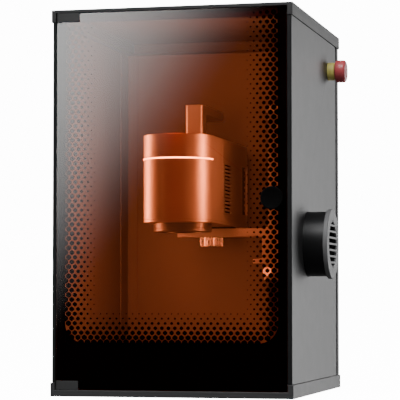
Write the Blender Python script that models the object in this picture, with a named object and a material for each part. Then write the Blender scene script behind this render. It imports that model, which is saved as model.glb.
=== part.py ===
"""Desktop laser cutter: a galvo laser head on a lifting stand, in a cabinet with a tinted door.

Metres, +Z up, the door facing -Y. Every piece is placed in the cabinet's own coordinates,
x from its left side, y from its front and z from the table. The empty "laser_cutter" carries
them all, so that the origin lies on the table under the middle of the machine's bounding box.
"""

import math

import bmesh
import bpy
from mathutils import Matrix, Vector
from mathutils.geometry import tessellate_polygon

# Cabinet
WIDTH = 0.388
DEPTH = 0.430
HEIGHT = 0.610
GAP = 0.0003  # clearance between neighbouring pieces
OVERHANG = 0.002  # base and lid stand this far beyond panels and posts
BASE_TOP = 0.0227
LID_BOTTOM = 0.5902
RIM = 0.022  # width of the solid rim round the hollow of base and lid
CAP_LEFT = 0.0072  # front corner blocks of base and lid, beside the door
CAP_RIGHT = 0.0084
REBATE = 0.0083  # depth of the step that the door closes into
BASE_LIP = 0.0112  # height of the base in front of that step
LID_LIP = 0.6048  # underside of the lid in front of that step
EDGE = 0.0012  # rounding of the moulded edges
SHEET = 0.0015
FOOT_RADIUS = 0.010
FOOT_DROP = 0.001
FOOT_TALL = 0.0023
GROMMET_CENTRE = (0.060, 0.047)
REAR_FLANGE = 0.0235  # how far in the rear posts reach along the back panel
VENT_LEFT, VENT_RIGHT = 0.130, 0.258
VENT_LOW, VENT_ROWS = 0.028, 4

# Door
DOOR_LEFT = 0.0088
DOOR_RIGHT = 0.3778
DOOR_FRONT = 0.0018
ACRYLIC = 0.004
HINGE_X = 0.012
HINGE_Y = 0.004
HINGE_PLATE = (0.0080, 0.0456)  # its left and right ends
HINGE_BLOCK = 0.0167  # right end of the solid part round the pin
HINGE_TALL = 0.0140
HINGE_WEB = 0.0022
PIN_RADIUS = 0.002
PIN_HOLE = 0.0023
PULL_CENTRE = (0.3553, 0.3083)
PULL_RADIUS = 0.0178
PULL_PROUD = 0.004

# Right side: exhaust duct and emergency stop
DUCT_CENTRE = (0.139, 0.241)
DUCT_RADIUS = 0.0515
DUCT_REACH = 0.426
STOP_CENTRE = (0.328, 0.5393)
STOP_RADIUS = 0.019
STOP_FACE = 0.4173
STOP_TRAVEL = 0.0045

# Laser head
HEAD_X = 0.179
HEAD_Y = 0.114  # centre of the round front
HEAD_RADIUS = 0.0567
HEAD_BOTTOM = 0.276
HEAD_TOP = 0.4165
HEAD_SPLIT = 0.180
HEAD_BACK = 0.325
HEAD_END = 0.372
HEAD_WALL = 0.0025
RING_HEIGHT = 0.3776
LENS_Y = 0.139
BEAM_X = 0.157  # the beam's path from the laser source to the first mirror
BEAM_Z = 0.305
COLLAR_RADIUS = 0.0473
COLLAR_BOTTOM = 0.2616

# Stand
COLUMN_X = 0.3063
COLUMN_Y = 0.3223
COLUMN_SIDE = 0.040
COLUMN_TOP = 0.470
SCREW_Y = 0.358
SCREW_RADIUS = 0.004
CARRIAGE_BOTTOM = 0.186
CARRIAGE_TOP = 0.275
ARM_FRONT = 0.285
ARM_LOW = 0.2588
ARM_HIGH = 0.2728
CLAMP_CENTRE = (0.1885, 0.303)
CLAMP_LOW = 0.2425
LOCK_CENTRE = (0.2903, 0.1996)

PANEL_OUT = WIDTH - OVERHANG
PANEL_LOW = BASE_TOP + GAP
PANEL_HIGH = LID_BOTTOM - GAP
DIAGONAL = math.sqrt(0.5)
ORIGIN = Vector((DUCT_REACH / 2, (DEPTH - PULL_PROUD) / 2, 0))


# Shapes


def spatial(pair, along, axis):
    """A point from its place along one axis and its two places across it, in X, Y, Z order."""
    u, v = pair
    return Vector({"X": (along, u, v), "Y": (u, along, v), "Z": (u, v, along)}[axis])


def box_outline(left, low, right, high):
    return [(left, low), (right, low), (right, high), (left, high)]


def arc(centre, radius, start, end, steps):
    """Points on an arc, with its angles in degrees."""
    points = []
    for step in range(steps + 1):
        angle = math.radians(start + (end - start) * step / steps)
        points.append((centre[0] + radius * math.cos(angle), centre[1] + radius * math.sin(angle)))
    return points


def circle(centre, radius, steps):
    return arc(centre, radius, 0, 360, steps)[:-1]


def rounded_outline(left, low, right, high, radius, steps=3):
    corners = [
        (right - radius, low + radius, -90),
        (right - radius, high - radius, 0),
        (left + radius, high - radius, 90),
        (left + radius, low + radius, 180),
    ]
    return [p for x, y, start in corners for p in arc((x, y), radius, start, start + 90, steps)]


def fluted_outline(centre, outer, inner, flutes):
    """A round outline with grip flutes, four points to a flute."""
    points = []
    for flute in range(flutes):
        for share, radius in ((0.0, outer), (0.45, outer), (0.6, inner), (0.85, inner)):
            angle = math.tau * (flute + share) / flutes
            points.append((centre[0] + radius * math.cos(angle), centre[1] + radius * math.sin(angle)))
    return points


def prism(loops, axis, low, high):
    """A plate between two places on an axis. The first loop is its outline, the others are holes."""
    bm = bmesh.new()
    triangles = tessellate_polygon([[Vector((u, v, 0)) for u, v in loop] for loop in loops])
    rows = []
    for along in (low, high):
        row = [bm.verts.new(spatial(pair, along, axis)) for loop in loops for pair in loop]
        for triangle in triangles:
            bm.faces.new([row[corner] for corner in triangle])
        rows.append(row)
    first = 0
    for loop in loops:
        for step in range(len(loop)):
            i, j = first + step, first + (step + 1) % len(loop)
            bm.faces.new((rows[0][i], rows[0][j], rows[1][j], rows[1][i]))
        first += len(loop)
    bmesh.ops.recalc_face_normals(bm, faces=bm.faces)
    return bm


def block(low, high):
    """A box between two opposite corners."""
    return prism([box_outline(low[0], low[1], high[0], high[1])], "Z", low[2], high[2])


def turned(profile, axis, centre, steps, ring=False):
    """A turned shape from (radius, place along the axis) pairs, closed onto itself if it is a ring."""
    bm = bmesh.new()
    outward = spatial((1, 0), 0, axis)
    verts = [bm.verts.new(spatial(centre, along, axis) + outward * radius) for radius, along in profile]
    followers = verts[1:] + verts[:1] if ring else verts[1:]
    edges = [bm.edges.new(pair) for pair in zip(verts, followers)]
    middle = spatial(centre, 0, axis)
    direction = spatial((0, 0), 1, axis)
    bmesh.ops.spin(
        bm, geom=verts + edges, cent=middle, axis=direction, angle=math.tau, steps=steps, use_merge=True
    )
    bmesh.ops.remove_doubles(bm, verts=bm.verts, dist=1e-6)
    bmesh.ops.recalc_face_normals(bm, faces=bm.faces)
    return bm


def disc(axis, centre, radius, low, high, steps):
    return turned([(0, low), (radius, low), (radius, high), (0, high)], axis, centre, steps)


def tube(axis, centre, outer, inner, low, high, steps):
    profile = [(inner, low), (outer, low), (outer, high), (inner, high)]
    return turned(profile, axis, centre, steps, ring=True)


def skin(rings):
    """A closed shell through rings of points of equal count, its first and last ring filled."""
    bm = bmesh.new()
    rows = [[bm.verts.new(point) for point in ring] for ring in rings]
    for lower, upper in zip(rows, rows[1:]):
        for i in range(len(lower)):
            j = (i + 1) % len(lower)
            bm.faces.new((lower[i], lower[j], upper[j], upper[i]))
    bm.faces.new(rows[0])
    bm.faces.new(rows[-1])
    bmesh.ops.recalc_face_normals(bm, faces=bm.faces)
    return bm


def merged(shapes):
    """Several separate shapes in one mesh, for a cutter with many teeth."""
    whole = bmesh.new()
    for shape in shapes:
        mesh = bpy.data.meshes.new("tooth")
        shape.to_mesh(mesh)
        shape.free()
        whole.from_mesh(mesh)
        bpy.data.meshes.remove(mesh)
    return whole


def piece(name, bm, finish, pivot=(0, 0, 0)):
    """A named object made from a mesh in cabinet coordinates, with its origin at the pivot."""
    bmesh.ops.translate(bm, verts=bm.verts, vec=-Vector(pivot))
    mesh = bpy.data.meshes.new(name)
    bm.to_mesh(mesh)
    bm.free()
    mesh.materials.append(finish)
    mesh.shade_smooth()
    mesh.set_sharp_from_angle(angle=math.radians(35))
    obj = bpy.data.objects.new(name, mesh)
    obj.location = pivot
    obj.parent = root
    bpy.context.scene.collection.objects.link(obj)
    return obj


def boolean(obj, bm, operation):
    """Cuts, joins or intersects a piece with a hidden tool shape."""
    name = f"{obj.name}_{operation.lower()}_{len(obj.modifiers)}"
    tool = piece(name, bm, obj.data.materials[0])
    tool.hide_render = True
    tool.display_type = "WIRE"
    modifier = obj.modifiers.new(name, "BOOLEAN")
    modifier.operation = operation
    modifier.solver = "EXACT"
    modifier.object = tool


def cut(obj, *shapes):
    boolean(obj, merged(shapes), "DIFFERENCE")


def join(obj, *shapes):
    for shape in shapes:
        boolean(obj, shape, "UNION")


def soften(obj, width, segments=2):
    """Rounds the sharp edges of a piece."""
    modifier = obj.modifiers.new("rounding", "BEVEL")
    modifier.width = width
    modifier.segments = segments
    modifier.limit_method = "ANGLE"
    modifier.angle_limit = math.radians(40)


def material(name, color, roughness, metallic=0.0, alpha=1.0, glow=0.0):
    made = bpy.data.materials.new(name)
    made.use_nodes = True
    shader = made.node_tree.nodes["Principled BSDF"]
    shader.inputs["Base Color"].default_value = (*color, 1)
    shader.inputs["Roughness"].default_value = roughness
    shader.inputs["Metallic"].default_value = metallic
    shader.inputs["Alpha"].default_value = alpha
    if glow:
        shader.inputs["Emission Color"].default_value = (*color, 1)
        shader.inputs["Emission Strength"].default_value = glow
    return made


# Cabinet


def make_base():
    base = piece("base_tray", block((0, 0, FOOT_DROP), (WIDTH, DEPTH, BASE_TOP)), moulded_grey)
    soften(base, EDGE)
    floor = 0.0055
    over = BASE_TOP + 0.01
    cut(base, block((RIM, RIM + 0.004, floor), (WIDTH - RIM, DEPTH - 0.026, over)))
    cut(base, block((CAP_LEFT, -0.01, BASE_LIP), (WIDTH - CAP_RIGHT, REBATE, over)))
    seats = [disc("Z", centre, FOOT_RADIUS + GAP, -0.01, 0.0026, 24) for centre in foot_centres()]
    pin_socket = disc("Z", (HINGE_X, HINGE_Y), PIN_HOLE, 0.0027, over, 12)
    cut(base, *seats)
    cut(base, pin_socket)


def make_lid():
    lid = piece("top_cover", block((0, 0, LID_BOTTOM), (WIDTH, DEPTH, HEIGHT)), moulded_grey)
    soften(lid, EDGE)
    under = LID_BOTTOM - 0.01
    ceiling = 0.607
    cut(lid, block((RIM, RIM + 0.004, under), (WIDTH - RIM, DEPTH - 0.026, ceiling)))
    cut(lid, block((CAP_LEFT, -0.01, under), (WIDTH - CAP_RIGHT, REBATE, LID_LIP)))
    cut(lid, disc("Z", (HINGE_X, HINGE_Y), PIN_HOLE, under, 0.6085, 12))


def foot_centres():
    inset = 0.030
    return [(x, y) for y in (inset, DEPTH - inset) for x in (inset, WIDTH - inset)]


def make_feet():
    names = ("foot_front_left", "foot_front_right", "foot_rear_left", "foot_rear_right")
    for name, centre in zip(names, foot_centres()):
        profile = [(0, 0), (FOOT_RADIUS - 0.001, 0), (FOOT_RADIUS, 0.0008)]
        profile += [(FOOT_RADIUS, FOOT_TALL), (0, FOOT_TALL)]
        piece(name, turned(profile, "Z", centre, 24), black_rubber)


def make_side_panels():
    side = box_outline(0.0052, PANEL_LOW, 0.396, PANEL_HIGH)
    piece("left_panel", prism([side], "X", OVERHANG, OVERHANG + SHEET), panel_grey)
    duct_hole = circle(DUCT_CENTRE, DUCT_RADIUS + 0.0005, 32)
    stop_hole = circle(STOP_CENTRE, 0.0113, 24)
    piece("right_panel", prism([side, duct_hole, stop_hole], "X", PANEL_OUT - SHEET, PANEL_OUT), panel_grey)


def make_rear_panel():
    back = DEPTH - OVERHANG
    flange_front = 0.412
    outline = [
        (OVERHANG, flange_front),
        (OVERHANG, back),
        (PANEL_OUT, back),
        (PANEL_OUT, flange_front),
        (PANEL_OUT - SHEET, flange_front),
        (PANEL_OUT - SHEET, back - SHEET),
        (OVERHANG + SHEET, back - SHEET),
        (OVERHANG + SHEET, flange_front),
    ]
    panel = piece("rear_panel", prism([outline], "Z", PANEL_LOW, PANEL_HIGH), panel_grey)
    slots = []
    for row in range(VENT_ROWS):
        low = VENT_LOW + 0.010 * row
        slots.append(block((VENT_LEFT, back - 0.01, low), (VENT_RIGHT, back + 0.01, low + 0.004)))
    cut(panel, *slots)
    cut(panel, disc("Y", GROMMET_CENTRE, 0.0155, back - 0.01, back + 0.01, 24))


def make_grommet():
    """A rubber ring with a groove that holds the panel's edge."""
    back = DEPTH - OVERHANG
    groove = 0.0152
    profile = [
        (0.010, back - SHEET - 0.0025),
        (0.0175, back - SHEET - 0.0025),
        (0.0175, back - SHEET - GAP),
        (groove, back - SHEET - GAP),
        (groove, back + GAP),
        (0.0175, back + GAP),
        (0.0175, back + 0.0018),
        (0.010, back + 0.0018),
    ]
    piece("cable_grommet", turned(profile, "Y", GROMMET_CENTRE, 24, ring=True), black_rubber)


def mirrored(outline):
    """The left side's outline, turned over for the right side."""
    return [(WIDTH - x, y) for x, y in reversed(outline)]


def front_post_outline(cap):
    """A folded post with a face as wide as the corner block above it, and the stop for the door."""
    skin_in = OVERHANG + SHEET + GAP
    leg = cap + 0.0002
    front_edge = arc((OVERHANG + 0.0022, 0.0015 + 0.0022), 0.0022, 180, 270, 3)
    return [(OVERHANG, 0.0049)] + front_edge + [
        (leg, 0.0015),
        (leg, 0.012),
        (0.016, 0.012),
        (0.016, 0.014),
        (skin_in + 0.002, 0.014),
        (skin_in + 0.002, 0.026),
        (skin_in, 0.026),
        (skin_in, 0.0049),
    ]


def make_posts():
    skin_in = OVERHANG + SHEET + GAP
    inner_back = DEPTH - OVERHANG - SHEET - GAP
    rear = [
        (skin_in, 0.380),
        (skin_in + 0.002, 0.380),
        (skin_in + 0.002, inner_back - 0.002),
        (REAR_FLANGE, inner_back - 0.002),
        (REAR_FLANGE, inner_back),
        (skin_in, inner_back),
    ]
    posts = (
        ("front_left", front_post_outline(CAP_LEFT), post_black),
        ("front_right", mirrored(front_post_outline(CAP_RIGHT)), post_black),
        ("rear_left", rear, panel_grey),
        ("rear_right", mirrored(rear), panel_grey),
    )
    for place, outline, finish in posts:
        piece(f"{place}_post", prism([outline], "Z", PANEL_LOW, PANEL_HIGH), finish)


def make_chamber_light():
    """A light bar under the lid, with its diffuser facing down."""
    section = [(0.040, 0.6067), (0.064, 0.6067), (0.060, 0.599)]
    section += [(0.056, 0.5975), (0.048, 0.5975), (0.044, 0.599)]
    piece("chamber_light", prism([section], "X", 0.094, 0.294), light_white)


# Door


def make_door():
    top = LID_LIP - 0.0008
    bottom = BASE_LIP + 0.0008
    notch_top = top - HINGE_WEB
    notch_bottom = bottom + HINGE_WEB
    beside = HINGE_PLATE[1] + 0.0006
    block_side = HINGE_BLOCK + GAP
    block_top = LID_LIP - 0.0005 - HINGE_TALL - 0.0007
    block_bottom = BASE_LIP + 0.0005 + HINGE_TALL + 0.0007
    outline = [
        (DOOR_LEFT, block_bottom),
        (block_side, block_bottom),
        (block_side, notch_bottom),
        (beside, notch_bottom),
        (beside, bottom),
        (DOOR_RIGHT, bottom),
        (DOOR_RIGHT, top),
        (beside, top),
        (beside, notch_top),
        (block_side, notch_top),
        (block_side, block_top),
        (DOOR_LEFT, block_top),
    ]
    stud_hole = circle(PULL_CENTRE, 0.0055, 16)
    shape = prism([outline, stud_hole], "Y", DOOR_FRONT, DOOR_FRONT + ACRYLIC)
    piece("door_panel", shape, door_acrylic, (HINGE_X, HINGE_Y, HEIGHT / 2))


def make_hinges():
    """Corner clips that grip the acrylic, and the fixed pins that they turn on."""
    half = HINGE_Y
    outline = arc((HINGE_X, HINGE_Y), half, 90, 270, 8)
    outline += [(HINGE_PLATE[1], HINGE_Y - half), (HINGE_PLATE[1], HINGE_Y + half)]
    glass = (DOOR_FRONT - GAP, DOOR_FRONT + ACRYLIC + GAP)
    clips = (
        ("hinge_plate_upper", LID_LIP - 0.0005 - HINGE_TALL, LID_LIP - 0.0005, -1),
        ("hinge_plate_lower", BASE_LIP + 0.0005, BASE_LIP + 0.0005 + HINGE_TALL, 1),
    )
    for name, low, high, inward in clips:
        pivot = (HINGE_X, HINGE_Y, (low + high) / 2)
        clip = piece(name, prism([outline], "Z", low, high), hinge_black, pivot)
        edge = high if inward < 0 else low
        web = edge + inward * HINGE_WEB
        open_end = edge + inward * (HINGE_TALL + 0.01)
        slot_low, slot_high = sorted((web, open_end))
        cut(clip, block((HINGE_BLOCK, glass[0], slot_low), (HINGE_PLATE[1] + 0.01, glass[1], slot_high)))
        hole_low, hole_high = sorted((edge - inward * 0.01, edge + inward * 0.0055))
        cut(clip, disc("Z", (HINGE_X, HINGE_Y), PIN_HOLE, hole_low, hole_high, 12))
    upper = (LID_LIP - 0.0055, 0.6082)
    lower = (0.0030, BASE_LIP + 0.0055)
    for name, (low, high) in (("hinge_pin_upper", upper), ("hinge_pin_lower", lower)):
        piece(name, disc("Z", (HINGE_X, HINGE_Y), PIN_RADIUS, low, high, 12), steel)


def make_pull():
    """A low round pull, its stud through the acrylic, and the steel disc that the magnet holds."""
    back = DOOR_FRONT - GAP
    stud = DOOR_FRONT + ACRYLIC + 0.0025
    profile = [
        (0, -0.0030),
        (0.0120, -0.0032),
        (PULL_RADIUS - 0.0030, -PULL_PROUD),
        (PULL_RADIUS - 0.0008, -PULL_PROUD),
        (PULL_RADIUS, -PULL_PROUD + 0.0008),
        (PULL_RADIUS, -0.0012),
        (0.0150, -0.0004),
        (0.0150, back),
        (0.0050, back),
        (0.0050, stud),
        (0, stud),
    ]
    pivot = (HINGE_X, HINGE_Y, PULL_CENTRE[1])
    piece("door_pull", turned(profile, "Y", PULL_CENTRE, 32), pull_black, pivot)
    behind = DOOR_FRONT + ACRYLIC + GAP
    piece("door_strike", tube("Y", PULL_CENTRE, 0.014, 0.0054, behind, behind + 0.003, 24), steel, pivot)


def make_catch():
    x, z = PULL_CENTRE
    flange_back = 0.014 + GAP
    plate = block((x - 0.012, flange_back, z - 0.0155), (WIDTH - 0.0065, flange_back + 0.002, z + 0.0155))
    piece("catch_bracket", plate, post_black)
    piece("catch_magnet", disc("Y", PULL_CENTRE, 0.008, 0.0095, 0.014, 20), chrome)
    seal = block((0.3732, 0.0061, 0.026), (0.3786, 0.0117, 0.586))
    piece("door_seal", seal, black_rubber)


# Emergency stop


def make_emergency_stop():
    outer = PANEL_OUT + GAP
    collar_end = outer + 0.0120
    collar = [
        (0.0093, outer),
        (0.0150, outer),
        (0.0150, collar_end - 0.0012),
        (0.0138, collar_end),
        (0.0093, collar_end),
    ]
    piece("estop_collar", turned(collar, "X", STOP_CENTRE, 28, ring=True), stop_yellow)
    y, z = STOP_CENTRE
    body = piece("estop_body", block((0.345, y - 0.021, z - 0.021), (0.372, y + 0.021, z + 0.021)), fan_black)
    join(body, disc("X", STOP_CENTRE, 0.0108, 0.370, PANEL_OUT, 24))
    cut(body, disc("X", STOP_CENTRE, 0.0085, 0.366, PANEL_OUT + 0.01, 20))
    nut = prism([circle(STOP_CENTRE, 0.0165, 6), circle(STOP_CENTRE, 0.0112, 24)], "X", 0.3802, 0.3842)
    piece("estop_nut", nut, steel)
    plunger_end = collar_end + GAP
    recess = collar_end + STOP_TRAVEL + 0.001  # room for the collar when the button is pressed
    plunger = disc("X", STOP_CENTRE, 0.008, 0.3715, plunger_end, 20)
    piece("estop_plunger", plunger, stop_red, (PANEL_OUT, y, z))
    mushroom = [
        (0, plunger_end + GAP),
        (0.0086, plunger_end + GAP),
        (0.0086, recess),
        (0.0157, recess),
        (0.0157, 0.3995),
        (STOP_RADIUS - 0.0015, 0.3995),
        (STOP_RADIUS, 0.4012),
        (STOP_RADIUS, 0.4125),
        (STOP_RADIUS - 0.0030, STOP_FACE),
        (0, STOP_FACE),
    ]
    piece("estop_button", turned(mushroom, "X", STOP_CENTRE, 32), stop_red, (STOP_FACE, y, z))


# Exhaust


def make_duct():
    """A spigot for a 100 mm hose, put through the panel from inside, and its slotted end cap."""
    inside = PANEL_OUT - SHEET - GAP
    end = DUCT_REACH - 0.0033
    bore = DUCT_RADIUS - 0.003
    profile = [
        (bore, inside - 0.003),
        (0.058, inside - 0.003),
        (0.058, inside),
        (DUCT_RADIUS, inside),
        (DUCT_RADIUS, end),
        (bore, end),
    ]
    piece("duct_tube", turned(profile, "X", DUCT_CENTRE, 36, ring=True), duct_black)
    rim = 0.0555
    cap_profile = [
        (0, end + GAP),
        (DUCT_RADIUS + 0.0004, end + GAP),
        (DUCT_RADIUS + 0.0004, end - 0.004),
        (rim - 0.001, end - 0.004),
        (rim, end - 0.003),
        (rim, DUCT_REACH - 0.0008),
        (rim - 0.0008, DUCT_REACH),
        (0, DUCT_REACH),
    ]
    cap = piece("duct_cap", turned(cap_profile, "X", DUCT_CENTRE, 36), duct_grey)
    cut(cap, *duct_slots())


def duct_slots():
    """Eight slots with square ends, all inside one circle."""
    y, z = DUCT_CENTRE
    grille = 0.0355
    pitch = 0.0098
    half_slot = 0.0034
    slots = []
    for row in range(8):
        height = z + pitch * (row - 3.5)
        far = abs(height - z) + half_slot
        reach = math.sqrt(max(grille**2 - far**2, 0.0055**2))
        low = (DUCT_REACH - 0.01, y - reach, height - half_slot)
        slots.append(block(low, (DUCT_REACH + 0.01, y + reach, height + half_slot)))
    return slots


def blades(axis, centre, low, high, root_radius, tip_radius, count, thick, lean):
    """Flat fan blades, each leaning along the axis."""
    made = []
    middle = (low + high) / 2
    for number in range(count):
        tall = (high - low) / 2 / math.cos(math.radians(lean))
        blade = bmesh.new()
        bmesh.ops.create_cube(blade, size=1)
        size = (tip_radius - root_radius, thick, 2 * tall - thick)
        bmesh.ops.scale(blade, vec=size, verts=blade.verts)
        tilt = Matrix.Rotation(math.radians(lean), 3, "X")
        bmesh.ops.rotate(blade, cent=(0, 0, 0), matrix=tilt, verts=blade.verts)
        bmesh.ops.translate(blade, vec=((tip_radius + root_radius) / 2, 0, 0), verts=blade.verts)
        turn = Matrix.Rotation(math.tau * number / count, 3, "Z")
        bmesh.ops.rotate(blade, cent=(0, 0, 0), matrix=turn, verts=blade.verts)
        for vert in blade.verts:
            x, y, z = vert.co
            vert.co = spatial((centre[0] + x, centre[1] + y), middle + z, axis)
        bmesh.ops.recalc_face_normals(blade, faces=blade.faces)
        made.append(blade)
    return made


def make_exhaust_fan():
    """An axial fan behind the duct: a square frame with a spoked hub, and a rotor."""
    y, z = DUCT_CENTRE
    back = PANEL_OUT - SHEET - GAP - 0.003 - GAP
    front = back - 0.0254
    square = rounded_outline(y - 0.060, z - 0.060, y + 0.060, z + 0.060, 0.006, 2)
    bore = circle(DUCT_CENTRE, 0.0575, 32)
    frame = piece("exhaust_fan_frame", prism([square, bore], "X", front, back), fan_black)
    join(frame, *spider("X", DUCT_CENTRE, 0.020, 0.0585, back - 0.003, back, 0.005))
    hub = disc("X", DUCT_CENTRE, 0.0195, front + 0.002, back - 0.0036, 24)
    rotor = piece("exhaust_fan_rotor", hub, fan_black, (front, y, z))
    join(rotor, *blades("X", DUCT_CENTRE, front + 0.003, back - 0.0045, 0.018, 0.055, 7, 0.0018, 50))


def spider(axis, centre, hub_radius, reach, low, high, width):
    """A motor mount: a hub disc on two crossed bars."""
    u, v = centre
    half = width / 2
    across = prism([box_outline(u - reach, v - half, u + reach, v + half)], axis, low, high)
    upright = prism([box_outline(u - half, v - reach, u + half, v + reach)], axis, low, high)
    return disc(axis, centre, hub_radius, low, high, 24), across, upright


# Stand


def make_stand_base():
    """A cast plate with a raised socket for the column and the lead screw's lower bearing."""
    plate = rounded_outline(0.060, 0.046, 0.352, 0.384, 0.012)
    base = piece("stand_base", prism([plate], "Z", 0.0058, 0.016), stand_black)
    join(base, prism([rounded_outline(0.274, 0.290, 0.338, 0.3725, 0.006)], "Z", 0.012, 0.046))
    socket = prism([column_outline(COLUMN_SIDE / 2 + GAP, 0)], "Z", 0.016, 0.060)
    bearing = disc("Z", (COLUMN_X, SCREW_Y), SCREW_RADIUS + GAP, 0.020, 0.060, 16)
    cut(base, socket, bearing)


def make_work_bed():
    """An aluminium plate with a grid of fixing holes, centred under the lens."""
    half = 0.095
    left, front = HEAD_X - half, LENS_Y - half + 0.010
    outline = rounded_outline(left, front, left + 2 * half, front + 2 * half - 0.010, 0.006)
    holes = []
    for row in range(4):
        for column in range(4):
            centre = (left + 0.020 + 0.050 * column, front + 0.015 + 0.050 * row)
            holes.append(circle(centre, 0.003, 8))
    piece("work_bed", prism([outline] + holes, "Z", 0.0163, 0.0262), bed_aluminium)


def column_outline(half, groove):
    """The column's square section, with a groove along each face unless the depth is none."""
    outline = []
    sides = (((-1, -1), (1, 0)), ((1, -1), (0, 1)), ((1, 1), (-1, 0)), ((-1, 1), (0, -1)))
    for (cx, cy), (dx, dy) in sides:
        start = Vector((COLUMN_X + cx * half, COLUMN_Y + cy * half))
        run = Vector((dx, dy))
        inward = Vector((-dy, dx))
        outline.append(tuple(start))
        if groove:
            near, far = half - 0.003, half + 0.003
            for along, deep in ((near, 0), (near, groove), (far, groove), (far, 0)):
                outline.append(tuple(start + run * along + inward * deep))
    return outline


def make_column():
    section = column_outline(COLUMN_SIDE / 2, 0.003)
    piece("column", prism([section], "Z", 0.016 + GAP, COLUMN_TOP), bed_aluminium)
    top = rounded_outline(COLUMN_X - 0.0235, COLUMN_Y - 0.0235, COLUMN_X + 0.0235, 0.372, 0.004)
    bearing = circle((COLUMN_X, SCREW_Y), SCREW_RADIUS + GAP, 16)
    piece("column_cap", prism([top, bearing], "Z", COLUMN_TOP + GAP, COLUMN_TOP + 0.010), arm_silver)


def make_lead_screw():
    pivot = (COLUMN_X, SCREW_Y, COLUMN_TOP)
    centre = (COLUMN_X, SCREW_Y)
    piece("lead_screw", disc("Z", centre, SCREW_RADIUS, 0.0205, 0.4895, 16), steel, pivot)
    grip = prism([fluted_outline(centre, 0.0190, 0.0175, 12)], "Z", 0.482, 0.500)
    knob = piece("height_knob", grip, fan_black, pivot)
    cut(knob, disc("Z", centre, SCREW_RADIUS + GAP, 0.470, 0.490, 16))


def make_carriage():
    """The block that slides on the column, with the nut of the lead screw."""
    outline = rounded_outline(0.281, ARM_FRONT + 0.0063, 0.331, 0.3725, 0.003)
    slide = column_outline(COLUMN_SIDE / 2 + 0.0004, 0)
    nut_hole = circle((COLUMN_X, SCREW_Y), 0.0073, 20)
    block_shape = prism([outline, slide, nut_hole], "Z", CARRIAGE_BOTTOM, CARRIAGE_TOP)
    carriage = piece("carriage", block_shape, arm_silver)
    cut(carriage, disc("Y", LOCK_CENTRE, 0.0035, 0.280, COLUMN_Y - 0.015, 12))
    nut_top = CARRIAGE_BOTTOM + 0.025
    nut = tube("Z", (COLUMN_X, SCREW_Y), 0.007, SCREW_RADIUS + 0.0004, CARRIAGE_BOTTOM, nut_top, 20)
    piece("lead_nut", nut, brass)


def make_arm():
    """The arm under the head: a shelf with a longer front edge, and a hanging strip with a pointer."""
    left, shelf_right, right = 0.1328, 0.2792, 0.3310
    back, shelf_back = ARM_FRONT + 0.006, 0.325
    outline = [
        (left, ARM_FRONT),
        (right, ARM_FRONT),
        (right, back),
        (shelf_right, back),
        (shelf_right, shelf_back),
        (left, shelf_back),
    ]
    clamp_hole = circle(CLAMP_CENTRE, 0.0055, 16)
    arm = piece("arm_bracket", prism([outline, clamp_hole], "Z", ARM_LOW, ARM_HIGH), arm_silver)
    strip_left, strip_right, strip_low, tab_end = 0.2796, 0.2925, 0.2137, 0.2640
    strip = [
        (tab_end, strip_low),
        (strip_right, strip_low),
        (strip_right, ARM_LOW + 0.006),
        (strip_left, ARM_LOW + 0.006),
        (strip_left, strip_low + 0.0085),
        (tab_end, strip_low + 0.0070),
    ]
    join(arm, prism([strip], "Y", ARM_FRONT, back - 0.001))
    pad = rounded_outline(0.150, 0.289, 0.227, 0.321, 0.004)
    piece("mount_plate", prism([pad, clamp_hole], "Z", ARM_HIGH + GAP, HEAD_BOTTOM - GAP), black_rubber)


def make_knobs():
    """The knurled knob that clamps the head to the arm, and the knob that locks the height."""
    grip = prism([fluted_outline(CLAMP_CENTRE, 0.0215, 0.0200, 24)], "Z", CLAMP_LOW, ARM_LOW - GAP)
    clamp = piece("clamp_knob", grip, chrome, (*CLAMP_CENTRE, CLAMP_LOW))
    join(clamp, disc("Z", CLAMP_CENTRE, 0.005, 0.250, HEAD_BOTTOM + 0.0035, 16))
    face = ARM_FRONT - 0.010
    profile = [
        (0, face),
        (0.0060, face),
        (0.0073, face + 0.0013),
        (0.0073, ARM_FRONT + 0.0040),
        (0.0030, ARM_FRONT + 0.0055),
        (0.0030, COLUMN_Y - COLUMN_SIDE / 2 - 0.0012),
        (0, COLUMN_Y - COLUMN_SIDE / 2 - 0.0012),
    ]
    pivot = (LOCK_CENTRE[0], face, LOCK_CENTRE[1])
    piece("lock_knob", turned(profile, "Y", LOCK_CENTRE, 24), chrome, pivot)


# Laser head


def head_outline(radius, back, steps=28):
    """The head seen from above: a half round front and straight sides back to a flat end."""
    outline = arc((HEAD_X, HEAD_Y), radius, 180, 360, steps)
    return outline + [(HEAD_X + radius, back), (HEAD_X - radius, back)]


def make_head_base():
    outline = head_outline(HEAD_RADIUS, HEAD_BACK)
    lens_hole = circle((HEAD_X, LENS_Y), 0.0410, 32)
    clamp_hole = circle(CLAMP_CENTRE, 0.0053, 16)
    shape = prism([outline, lens_hole, clamp_hole], "Z", HEAD_BOTTOM, HEAD_BOTTOM + 0.004)
    piece("head_base_plate", shape, head_silver)


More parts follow.
